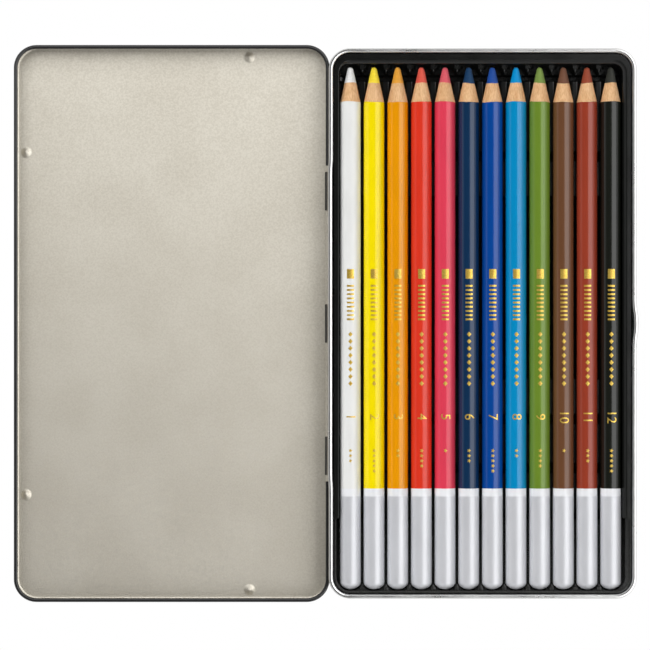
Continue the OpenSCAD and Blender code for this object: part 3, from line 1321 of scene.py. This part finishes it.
@dataclass
class Pan(Drawn):
    """The tin's base: a tinplate pan with a rolled rim, a nail bulge and three hinge tongues."""

    bend: float = 1.6 * MM
    rim_r: float = 0.75 * MM
    rim_turn: float = -292.0
    bulge: float = 0.62 * MM
    bulge_reach: float = 8.2 * MM
    bow: float = 0.22 * MM
    bow_ease: float = 50.0 * MM
    bow_reach: float = 56.0 * MM
    tongue_l: float = 12.9 * MM
    tongue_pitch: float = 44.4 * MM
    tongue_bore: float = 0.68 * MM
    tongue_turn: float = 318.0
    # Turns of the tongues' faces past which they take the painted shadow and the painted
    # reflection.
    shaded_turn: float = 0.3
    pale_turn: float = 0.2
    bulge_out: float = 0.65 * MM

    def build(self, box: Box, hinge: Point) -> None:
        """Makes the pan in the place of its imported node.

        Args:
            box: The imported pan's box, which the bulge widens at the front alone.
            hinge: Any point on the hinge's axis.
        """
        width, height = 2 * (box.high.x - self.bulge_out), box.high.z
        wall = 2 * self.rim_r - self.sheet
        line = self.section(self.bend, wall, height - self.rim_r, self.rim_r, self.rim_turn)
        values = {
            "Width": width,
            "Length": box.size.y,
            "Front push": self.bulge,
            "Front reach": self.bulge_reach,
            "Rear push": self.bow,
            "Rear ease": self.bow_ease,
            "Rear reach": self.bow_reach,
        }
        pan = self.sweep("pan_sheet", line, values)
        pan.dress(self.finishes[:1]).soften(40).settle("base", "tinplate", "base_pan")
        tongues = self._tongues(hinge, -width / 2 + wall)
        tongues.mesh.update()
        # Painted light: the flank facing the lid takes the black lacquer as a painted shadow gap,
        # the upward faces take the pale satin as a painted reflection of the lid, and the rest
        # stays tinplate.
        for face in tongues.mesh.polygons:
            inner = face.normal.x < -self.shaded_turn and face.center.x < hinge[0]
            face.material_index = 2 if inner else 1 if face.normal.z > self.pale_turn else 0
        tongues.soften(40).settle("base", "tinplate")

    def _tongues(self, hinge: Point, wall_x: float) -> Piece:
        """Makes the three tongues, each a strap from the pan's wall rolled around the lid's edge.

        Args:
            hinge: Any point on the hinge's axis.
            wall_x: Where the pan's wall stands.

        Returns:
            The tongues as one piece.
        """
        hub = (hinge[0], hinge[2])
        outer_r = self.tongue_bore + self.sheet
        start, end = -90.0, -90.0 - self.tongue_turn
        line = [(wall_x + self.sheet / 2, hub[1] - outer_r)]
        line += arc(hub, outer_r, start, end, 4 * self.fine)
        line += arc(hub, self.tongue_bore, end, start, 4 * self.fine)
        line += [(wall_x + self.sheet / 2, hub[1] - self.tongue_bore)]
        count = len(line)
        points: list[Point] = []
        faces: list[tuple[int, ...]] = []
        for middle in (-self.tongue_pitch, 0.0, self.tongue_pitch):
            base = len(points)
            for side in (-1, 1):
                points += [(x, middle + side * self.tongue_l / 2, z) for x, z in line]
            for at in range(count):
                after = (at + 1) % count
                faces.append((base + at, base + after, base + count + after, base + count + at))
            faces += self._caps(base, count)
        return Piece("hinge_tongues", points, faces).orient().dress(self.finishes)

    @staticmethod
    def _caps(base: int, count: int) -> list[tuple[int, ...]]:
        """Faces that close both ends of a strap whose outline goes there and back."""
        faces = []
        for first in (base, base + count):
            for at in range(count // 2 - 1):
                other = count - 1 - at
                faces.append((first + at, first + at + 1, first + other - 1, first + other))
        return faces


@dataclass
class Lid(Drawn):
    """The tin's lid: gloss black outside, satin inside, its edge rolled inward as a hinge rod."""

    bend: float = 1.3 * MM
    roll_r: float = 0.66 * MM
    corner: float = 7.7 * MM
    roll_turn: float = 290.0
    pip_d: float = 3.2 * MM
    pip_h: float = 0.8 * MM
    pip_in: float = 3.6 * MM
    pip_y: float = 57.8 * MM
    pip_x: float = 79.0 * MM
    pip_spread: float = 1.25
    pip_cuts: int = 5
    pip_near: float = 1.6
    underside: float = -0.02
    bend_share: float = 0.9
    side_share: float = 0.1
    slot_l: float = 13.4 * MM
    slot_pitch: float = 44.4 * MM
    slot_drop: float = 1.06 * MM
    bare_reach: float = 53.0 * MM

    def build(self, box: Box, hinge: Point) -> None:
        """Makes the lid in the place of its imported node.

        Args:
            box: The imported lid's box.
            hinge: Any point on the hinge's axis.
        """
        self.box = box
        line = self.section(self.bend, 0.0, hinge[2], self.roll_r, self.roll_turn)
        values = {
            "Width": box.size.x,
            "Length": box.size.y,
            "Center": (box.center.x, 0.0, 0.0),
        }
        lid = self.sweep("lid_sheet", line, values)
        for y in (-self.slot_pitch, 0.0, self.slot_pitch):
            low = (box.high.x - 2 * self.sheet, y - self.slot_l / 2, hinge[2] - self.slot_drop)
            high = (box.high.x + self.sheet, y + self.slot_l / 2, hinge[2])
            self.cut(lid, low, high)
        self._press(lid)
        lid.dress(self.finishes)
        self._print_faces(lid, hinge[2])
        lid.soften(35).settle("lid", "lid_lacquer", "lid")

    def _pips(self) -> list[tuple[float, float]]:
        """Places of the four pressed pips."""
        low, high = self.box.low, self.box.high
        front = low.x + self.pip_in
        side = (low.x + self.pip_x, high.y - self.pip_in)
        return [(front, self.pip_y), (front, -self.pip_y), side, (side[0], -side[1])]

    def _press(self, lid: Piece) -> None:
        """Presses the pips into the face of the lid."""
        reach = self.pip_d / 2
        with lid.edit() as shape:
            for x, y in self._pips():
                near = [f for f in shape.faces if self._is_near(f, x, y, self.pip_near * reach)]
                edges = list({edge for face in near for edge in face.edges})
                grid = {"cuts": self.pip_cuts, "use_grid_fill": True}
                bmesh.ops.subdivide_edges(shape, edges=edges, **grid)
            for vertex in shape.verts:
                for x, y in self._pips():
                    away = math.hypot(vertex.co.x - x, vertex.co.y - y) / reach
                    if away < self.pip_spread and vertex.co.z < 2 * self.sheet:
                        vertex.co.z += self.pip_h * (1 - smooth(0.0, self.pip_spread, away))

    def _is_near(self, face: bmesh.types.BMFace, x: float, y: float, reach: float) -> bool:
        """Whether a small face of the lid's floor touches the square around a place."""
        center = face.calc_center_median()
        low = len(face.verts) < 9 and center.z < 2 * self.sheet
        return low and abs(center.x - x) < reach and abs(center.y - y) < reach

    def _inset(self, x: float, y: float) -> float:
        """How far a place lies inside the lid's outline."""
        half, middle = self.box.size / 2, self.box.center
        over_x = abs(x - middle.x) - half.x + self.corner
        over_y = abs(y - middle.y) - half.y + self.corner
        if min(over_x, over_y) > 0:
            return self.corner - math.hypot(over_x, over_y)
        return self.corner - max(over_x, over_y)

    def _print_faces(self, lid: Piece, hinge_z: float) -> None:
        """Makes the outside and the roll black, and leaves the roll pale along the hinge."""
        high, middle = self.box.high, self.box.center
        for face in lid.mesh.polygons:
            at, out = face.center, face.normal
            edge = self._inset(at.x, at.y)
            outward = Vector((at.x - middle.x, at.y - middle.y, 0.0))
            near_wall = edge < self.bend
            outside = out.z < self.underside and at.z < self.bend_share * self.bend
            side = near_wall and out.dot(outward) > 0 and at.z > self.side_share * self.bend
            rolled = at.z > hinge_z - self.roll_r and edge < 2 * self.roll_r
            hinged = high.x - at.x < 2 * self.roll_r and abs(at.y) < self.bare_reach
            black = (outside or side or rolled) and not (hinged and rolled)
            face.material_index = int(black)


@dataclass(frozen=True)
class Block:
    """One block of ribs across the tray, from its side towards the tips down to its far side."""

    start: float
    end: float
    top: float


@dataclass(frozen=True)
class Level:
    """One line around the recess, from the foot of its wall outwards.

    Attributes:
        out: How far it lies outside the recess's edge, or inside the tray's edge on the rim.
        bevel: Share of the bevel's width that comes on top.
        drop: Share of the bevel's depth that it lies below the flange.
        rise: How far it lies above the sheet at the foot of the wall.
        under: How far the underside's line lies outwards from it, and below it.
        kind: "foot" at the wall's foot, "bevel" on the bevel and "rim" on the tray's edge.
    """

    out: float
    bevel: float
    drop: float
    rise: float
    under: tuple[float, float]
    kind: str


@dataclass
class Tray:
    """The formed inlay: rib blocks, a shelf at both ends, a bevelled rim and a flat flange."""

    finish: bpy.types.Material
    axes: Sequence[float]
    axis_z: float
    recess: tuple[float, float, float, float]
    box: Box
    sheet: float = 0.45 * MM
    floor_z: float = 0.8 * MM
    groove_r: float = 3.6 * MM
    rib_round: float = 0.5 * MM
    edge_round: float = 0.6 * MM
    wall_run: float = 0.12 * MM
    round_run: float = 0.7 * MM
    foot: float = 1.2 * MM
    tip_corner: float = 3.0 * MM
    end_corner: float = 4.65 * MM
    rim_corner: float = 5.4 * MM
    step_y: float = -65.5 * MM
    step_out: float = 0.9 * MM
    tip_shelf: tuple[float, float] = (83.15 * MM, 9.0 * MM)
    tip_pocket: tuple[float, float] = (83.0 * MM, 3.6 * MM)
    tip_floor: float = 3.0 * MM
    end_shelf: tuple[float, float] = (-87.05 * MM, 10.5 * MM)
    end_pocket: tuple[float, float] = (-85.65 * MM, 3.7 * MM)
    pocket_round: float = 0.5 * MM
    shelf_step: float = 0.3 * MM
    fine_rows: int = 14
    fine_step: float = 0.05 * MM
    groove_steps: int = 12
    groove_spread: float = 1.12
    least_gap: float = 0.03 * MM
    step_run: float = 0.5 * MM
    wall_drop: float = 0.3 * MM
    corner_blur: float = 0.3 * MM
    slope: float = 0.8
    bevels: tuple[float, float, float, float] = (0.12 * MM, 1.35 * MM, 0.3 * MM, 1.35 * MM)
    blocks: tuple[Block, ...] = (
        Block(81.65 * MM, 57.65 * MM, 7.2 * MM),
        Block(54.65 * MM, 42.65 * MM, 7.8 * MM),
        Block(-18.55 * MM, -30.55 * MM, 7.8 * MM),
        Block(-33.55 * MM, -47.05 * MM, 7.2 * MM),
        Block(-50.05 * MM, -62.55 * MM, 7.2 * MM),
        Block(-65.55 * MM, -95.0 * MM, 7.8 * MM),
    )
    levels: tuple[Level, ...] = (
        Level(-0.35 * MM, 0.0, 1.0, 0.35 * MM, (0.2 * MM, 0.4 * MM), "foot"),
        Level(-0.05 * MM, 0.0, 1.0, 1.2 * MM, (0.42 * MM, 0.2 * MM), "foot"),
        Level(0.0, 0.0, 1.0, 0.0, (0.45 * MM, 0.15 * MM), "bevel"),
        Level(0.0, 0.12, 0.8, 0.0, (0.4 * MM, 0.3 * MM), "bevel"),
        Level(0.0, 0.5, 0.42, 0.0, (0.25 * MM, 0.4 * MM), "bevel"),
        Level(0.0, 0.88, 0.08, 0.0, (0.08 * MM, 0.42 * MM), "bevel"),
        Level(0.0, 1.0, 0.0, 0.0, (0.02 * MM, 0.45 * MM), "bevel"),
        Level(0.12 * MM, 1.0, 0.0, 0.0, (0.02 * MM, 0.45 * MM), "bevel"),
        Level(0.08 * MM, 0.0, 0.0, 0.0, (0.0, 0.45 * MM), "rim"),
        Level(0.03 * MM, 0.0, 0.05, 0.0, (0.0, 0.4 * MM), "rim"),
    )

    def build(self) -> None:
        """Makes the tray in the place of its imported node."""
        left, right, end, tip = self.recess
        foot = self.foot
        self.base = (left + foot, right - foot, end + foot, tip - foot)
        self.columns = self._columns()
        self.rows = self._rows()
        self.points: list[Point] = []
        self.faces: list[tuple[int, ...]] = []
        top = self._sheet(False)
        bottom = self._sheet(True)
        for at in range(len(top)):
            after = (at + 1) % len(top)
            self.faces.append((top[at], bottom[at], bottom[after], top[after]))
        tray = Piece("tray_sheet", self.points, self.faces).orient()
        tray.dress([self.finish]).soften(42).settle("tray", "tray_sheet", "inlay_tray")

    def _columns(self) -> list[float]:
        """Places of the grid's lines along X: close where the grooves meet the ribs."""
        pitch = self.axes[1] - self.axes[0]
        steps, wide = self.groove_steps, self.groove_spread * self.groove_r
        reach = math.asin(min(1.0, pitch / 2 / wide))
        away = [wide * math.sin(reach * at / steps) for at in range(steps + 1)]
        places = {round(axis + side * a, 7) for axis in self.axes for a in away for side in (-1, 1)}
        return self._thin(places, *self.base[:2])

    def _rows(self) -> list[float]:
        """Places of the grid's lines along Y: close at the ends of blocks and on the shelves."""
        inset = [0.0, *(self.wall_run + self.round_run * t for t in (0.0, 0.2, 0.5, 1.0))]
        falling = [block.start for block in self.blocks] + [self.end_shelf[0]]
        rising = [block.end for block in self.blocks] + [self.tip_shelf[0]]
        places = {edge - depth for edge in falling for depth in inset}
        places |= {edge + depth for edge in rising for depth in inset}
        for at in range(self.fine_rows):
            places.add(self.tip_shelf[0] + at * self.shelf_step)
            places.add(self.end_shelf[0] + at * self.shelf_step)
            places.add(self.step_y + (at - 2) * self.fine_step)
        return self._thin(places, *self.base[2:])

    def _thin(self, places: set[float], low: float, high: float) -> list[float]:
        """Two ends and the places between them that are clear of those kept before."""
        kept = [low, high]
        for place in sorted(places):
            clear = min(abs(place - other) for other in kept) > self.least_gap
            if low < place < high and clear:
                kept.append(place)
        return sorted(kept)

    def _away(self, x: float) -> float:
        """Distance from a place to the nearest pencil's axis, along X."""
        return min(abs(x - axis) for axis in self.axes)

    def _groove(self, x: float, top: float) -> float:
        """Height of grooves cut into ribs of a height, with round edges."""
        groove = self.axis_z - math.sqrt(max(0.0, self.groove_r**2 - self._away(x) ** 2))
        share = min(1.0, max(0.0, 0.5 + 0.5 * (top - groove) / self.rib_round))
        return mix(top, groove, share) - self.rib_round * share * (1 - share)

    def _edge(self, low: float, top: float, depth: float) -> float:
        """Height of an edge with a steep wall and a round top, at a depth behind its foot."""
        if depth < self.wall_run / 2:
            return low
        t = min(1.0, (depth - self.wall_run) / self.round_run)
        return max(low, top - self.edge_round * (1 - math.sqrt(1 - (1 - max(0.0, t)) ** 2)))

    def _outside(self, pocket: tuple[float, float], away: float, y: float) -> float:
        """Eases from 0 in a round pocket, given by its middle and radius, to 1 outside it."""
        middle, radius = pocket
        return smooth(radius, radius + self.pocket_round, math.hypot(away, y - middle))

    def _height(self, x: float, y: float, row: float) -> float:
        """Height of the sheet's face.

        Args:
            x: Place along X.
            y: Place along Y.
            row: Place along Y of the grid's row, before corners are bent.

        Returns:
            The height.
        """
        away = self._away(x)
        edge, top = self.tip_shelf
        if row >= edge:
            share = self._outside(self.tip_pocket, away, y)
            return self._edge(self.floor_z, mix(self.tip_floor, top, share), row - edge)
        edge, top = self.end_shelf
        if row <= edge:
            low = self._groove(x, self.blocks[-1].top)
            share = self._outside(self.end_pocket, away, y)
            return self._edge(low, mix(low, top, share), edge - row)
        for block in self.blocks:
            if block.end <= row <= block.start:
                depth = min(block.start - row, row - block.end)
                return self._edge(self.floor_z, self._groove(x, block.top), depth)
        return self.floor_z

    def _line(self, level: Level | None, x: float, y: float, shift: float) -> tuple[float, float]:
        """Where a place of the grid lies on a line around the recess.

        Args:
            level: The line, or None for the grid itself.
            x: The place along X.
            y: The place along Y.
            shift: How far the line is moved outwards.

        Returns:
            The place in plan, with corners bent.
        """
        edges, tip_r, end_r = self._outline(level, y, shift)
        foot_r = (self.tip_corner if y > 0 else self.end_corner) - self.foot
        radius = tip_r if y > 0 else end_r
        left, right, end, tip = self.base
        low = end + self.end_corner - self.foot
        high = tip - self.tip_corner + self.foot
        over_x = max(left + foot_r - x, x - right + foot_r, 0.0) / foot_r
        over_y = max(low - y, y - high, 0.0) / foot_r
        along_x = min(1.0, max(0.0, (x - left - foot_r) / (right - left - 2 * foot_r)))
        along_y = min(1.0, max(0.0, (y - low) / (high - low)))
        bent_x = radius * over_x * math.sqrt(1 - over_y**2 / 2) * (1 if x > 0 else -1)
        bent_y = radius * over_y * math.sqrt(1 - over_x**2 / 2) * (1 if y > 0 else -1)
        plan_x = mix(edges[0] + radius, edges[1] - radius, along_x) + bent_x
        return plan_x, mix(edges[2] + end_r, edges[3] - tip_r, along_y) + bent_y

    def _outline(self, level: Level | None, y: float, shift: float) -> tuple[list, float, float]:
        """Edges of a line's rectangle and the radii of its corners at the tips and at the end."""
        signs = (-1, 1, -1, 1)
        if level is not None and level.kind == "rim":
            low, high, inset = self.box.low, self.box.high, level.out
            edges = [low.x + inset, high.x - inset, low.y + inset, high.y - inset]
            return edges, self.rim_corner - inset, self.rim_corner - inset
        out = -self.foot if level is None else level.out + shift
        share = 0.0 if level is None else level.bevel
        step = self.step_out * smooth(self.step_y + self.step_run, self.step_y, y)
        reach = [out + share * bevel for bevel in self.bevels]
        edges = [edge + sign * r for edge, sign, r in zip(self.recess, signs, reach)]
        edges[0] -= step
        edges[1] += step
        return edges, self.tip_corner + reach[3], self.end_corner + reach[2]

    def _depth(self, x: float, y: float) -> float:
        """Depth of the bevel at a place of the grid's edge."""
        left, right, end, tip = self.base
        gaps = (x - left, right - x, y - end, tip - y)
        weights = [1 / (max(0.0, gap) + self.corner_blur) ** 3 for gap in gaps]
        wide = sum(w * bevel for w, bevel in zip(weights, self.bevels)) / sum(weights)
        return self.slope * wide

    def _sheet(self, under: bool) -> list[int]:
        """Makes one side of the sheet.

        Args:
            under: Whether it is the underside.

        Returns:
            Indices of the vertices around its outer edge.
        """
        first = len(self.points)
        wide = len(self.columns)
        last_row, last_column = len(self.rows) - 1, wide - 1
        for j, row in enumerate(self.rows):
            for i, column in enumerate(self.columns):
                side = i in (0, last_column) or j in (0, last_row)
                x, y = self._line(None, column, row, 0.0) if side else self._bend(column, row)
                self.points.append((x, y, self._height(x, y, row) - under * self.sheet))
        for j in range(last_row):
            for i in range(last_column):
                at = first + j * wide + i
                self.faces.append((at, at + 1, at + wide + 1, at + wide))
        ring = [(i, 0) for i in range(last_column)] + [(last_column, j) for j in range(last_row)]
        ring += [(i, last_row) for i in range(last_column, 0, -1)]
        ring += [(0, j) for j in range(last_row, 0, -1)]
        line = [first + j * wide + i for i, j in ring]
        places = [(self.columns[i], self.rows[j]) for i, j in ring]
        for level in self.levels:
            line = self._band(line, places, level, under)
        return line

    def _bend(self, x: float, y: float) -> tuple[float, float]:
        """Where a place inside the grid lies, with corners bent and no step in its width."""
        foot_r = (self.tip_corner if y > 0 else self.end_corner) - self.foot
        left, right, end, tip = self.base
        over_x = max(left + foot_r - x, x - right + foot_r, 0.0) / foot_r
        over_y = max(end + foot_r - y if y < 0 else y - tip + foot_r, 0.0) / foot_r
        in_x = foot_r * over_x * (1 - math.sqrt(1 - over_y**2 / 2)) * (1 if x > 0 else -1)
        in_y = foot_r * over_y * (1 - math.sqrt(1 - over_x**2 / 2)) * (1 if y > 0 else -1)
        return x - in_x, y - in_y

    def _band(self, line: list[int], places: list, level: Level, under: bool) -> list[int]:
        """Adds the next line around the sheet and the band of faces up to it."""
        out, down = level.under if under else (0.0, 0.0)
        start = len(self.points)
        for place_x, place_y in places:
            x, y = self._line(level, place_x, place_y, out)
            z = self.box.high.z - level.drop * self._depth(place_x, place_y)
            if level.kind == "foot":
                face = self._height(*self._line(level, place_x, place_y, 0.0), place_y)
                z = min(face + level.rise, z - (self.wall_drop - level.rise / 8))
            self.points.append((x, y, z - down))
        fresh = [start + at for at in range(len(places))]
        for at in range(len(line)):
            after = (at + 1) % len(line)
            self.faces.append((line[at], fresh[at], fresh[after], line[after]))
        return fresh


@dataclass(frozen=True)
class Lamp:
    """A rectangular lamp, whose radiance is how bright its face is, where 1 is white."""

    name: str
    place: Point
    target: Point
    size: tuple[float, float]
    radiance: float

    def hang(self) -> bpy.types.Object:
        """Adds the lamp to the scene."""
        data = bpy.data.lights.new(self.name, "AREA")
        data.shape = "RECTANGLE"
        data.size, data.size_y = self.size
        data.energy = self.radiance * math.pi * self.size[0] * self.size[1]
        light = linked(self.name, data)
        light.location = self.place
        aim = Vector(self.target) - Vector(self.place)
        light.rotation_euler = aim.to_track_quat("-Z", "Y").to_euler()
        return light


@dataclass
class Studio:
    """The camera over the tin, the lights and the white floor."""

    plane_z: float = 9.5 * MM
    distance: float = 1150 * MM
    center: tuple[float, float] = (-52.72 * MM, -0.5 * MM)
    view_width: float = 217.9 * MM
    clip: tuple[float, float] = (0.05, 50.0)
    floor_reach: float = 6.0
    floor_z: float = -0.02 * MM
    floor_tone: float = 0.9
    floor_gloss: float = 0.8
    strip: Lamp = Lamp("strip", (0.82, 0.0, 0.8), (0.82, 0.0, 0.0), (1.3, 2.4), 2.6)
    key: Lamp = Lamp("key", (-1.1, 0.0, 1.6), (0.0, 0.0, 0.0), (1.2, 2.4), 1.45)
    dome: Lamp = Lamp("dome", (0.0, 0.0, 1.5), (0.0, 0.0, 0.0), (9.0, 9.0), 0.9)
    lid_glow: Lamp = Lamp("lid_glow", (-0.1, 0.6, 0.8), (-0.1, 0.6, 0.0), (1.2, 1.04), 1.75)
    sky_gloss: float = 0.08
    rim_gloss: float = 0.9
    sky_band: tuple[float, float] = (0.25, 0.6)

    def camera(self) -> None:
        """Hangs the camera straight above the tin."""
        data = bpy.data.cameras.new("camera")
        data.sensor_width = SENSOR
        data.lens = SENSOR * self.distance / self.view_width
        data.clip_start, data.clip_end = self.clip
        eye = linked("camera", data)
        eye.location = (*self.center, self.plane_z + self.distance)
        bpy.context.scene.camera = eye

    def lights(self, lid: Sequence[bpy.types.Object]) -> None:
        """Sets the lamps: a strip that glosses, a soft key, and a glow over the lid alone.

        Args:
            lid: The pieces that the glow lights.
        """
        self.strip.hang().visible_diffuse = False
        for lamp in (self.key, self.dome):
            soft = lamp.hang()
            soft.visible_glossy = False
            soft.data.cycles.use_multiple_importance_sampling = False
        glow = self.lid_glow.hang()
        lit = bpy.data.collections.new("lid_lit")
        for piece in lid:
            lit.objects.link(piece)
        glow.light_linking.receiver_collection = lit
        self.room()

    def room(self) -> None:
        """Makes the world: dark to diffuse rays, dim overhead and bright towards the horizon in
        reflections, and white to the camera.
        """
        world = bpy.data.worlds.new("room")
        bpy.context.scene.world = world
        world.cycles.sampling_method = "NONE"
        sheet = Sheet(world, "Generated")
        low, high = self.sky_band
        rise = {"Value": sheet.axes()[2], "From Min": low, "From Max": high}
        tone = {"To Min": self.rim_gloss, "To Max": self.sky_gloss}
        height = sheet.add("ShaderNodeMapRange", {}, {**rise, **tone})
        rays = sheet.add("ShaderNodeLightPath")
        glossy, seen = rays.out("Is Glossy Ray"), rays.out("Is Camera Ray")
        gloss = sheet.add("ShaderNodeMix", {}, {"Factor": glossy, "A": 0.0, "B": height})
        white = sheet.add("ShaderNodeMix", {}, {"Factor": seen, "A": gloss, "B": 1.0})
        color = {"Color": (1.0, 1.0, 1.0), "Strength": white}
        glow = sheet.add("ShaderNodeBackground", {}, color)
        sheet.add("ShaderNodeOutputWorld", {}, {"Surface": glow})

    def floor(self) -> None:
        """Lays the floor, pale under the tin's shadow and white to the camera elsewhere."""
        reach = self.floor_reach
        corners = [(-reach, -reach), (reach, -reach), (reach, reach), (-reach, reach)]
        floor = Piece("floor", [(x, y, self.floor_z) for x, y in corners], [(0, 1, 2, 3)])
        sheet = Sheet.of("floor_white")
        paper = sheet.add("ShaderNodeBsdfDiffuse", {}, {"Color": (self.floor_tone,) * 3})
        glow = sheet.add("ShaderNodeEmission", {}, {"Color": (1.0, 1.0, 1.0), "Strength": 1.0})
        rays = sheet.add("ShaderNodeLightPath")
        seen = rays.value("Is Camera Ray") + rays.value("Is Glossy Ray") * self.floor_gloss
        both = sheet.add("ShaderNodeMixShader", {}, {0: seen, 1: paper, 2: glow})
        sheet.add("ShaderNodeOutputMaterial", {}, {"Surface": both})
        floor.dress([sheet.owner])


def main() -> None:
    """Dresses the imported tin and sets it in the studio."""
    logging.basicConfig(level=logging.INFO, format="%(name)s: %(message)s")
    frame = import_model()
    bpy.context.scene.view_settings.view_transform = "Standard"
    studio = Studio()
    studio.camera()
    hinge = next(joint for joint in frame["joints"] if joint["name"] == "lid_hinge")["pos_m"]
    drawn = DrawnSheet()
    plate = Tinplate().make("tinplate")
    inside = SatinLacquer().make("lid_inside")
    outside = BlackLacquer().make("lid_outside")
    # Painted reflection: the tongues' pale satin, a copy of the lid's lacquer for their upward
    # faces, with its own painted wall shade.
    pale = SatinLacquer(srgb("C9C2B4"), wall=srgb("BDB5A6")).make("tongue_pale")
    Pan(drawn, [plate, pale, outside]).build(Box.of("base_pan"), hinge)
    Lid(drawn, [inside, outside]).build(Box.of("lid"), hinge)
    barrels = [Box.of("barrel_" + paint.word) for paint in Paint]
    first, last = barrels[0], barrels[-1]
    beside, tip_play, end_play = 0.35 * MM, 1.0 * MM, 0.3 * MM
    lead = Box.of("lead_white")
    recess = (
        first.low.x - beside,
        last.high.x + beside,
        first.low.y - end_play,
        lead.high.y + tip_play,
    )
    axes = [barrel.center.x for barrel in barrels]
    sheet = FormedSheet().make("tray_sheet")
    Tray(sheet, axes, first.center.z, recess, Box.of("inlay_tray")).build()
    printing = Print(PrintedRow(), Foil().make("foil"))
    wood = BareWood().make("wood")
    band = Lacquer(srgb("E9EAED")).make("band_white")
    cap = Lacquer(srgb("D0D1D5"), roughness=0.36, metallic=0.22).make("cap_grey")
    for number, paint in enumerate(Paint, 1):
        stars = 1 + number * STAR_STEP % MOST_STARS
        Pencil(paint, number, stars, printing, wood, band, cap).build()
    studio.lights([bpy.data.objects["lid_sheet"]])
    studio.floor()


if __name__ == "__main__":
    main()
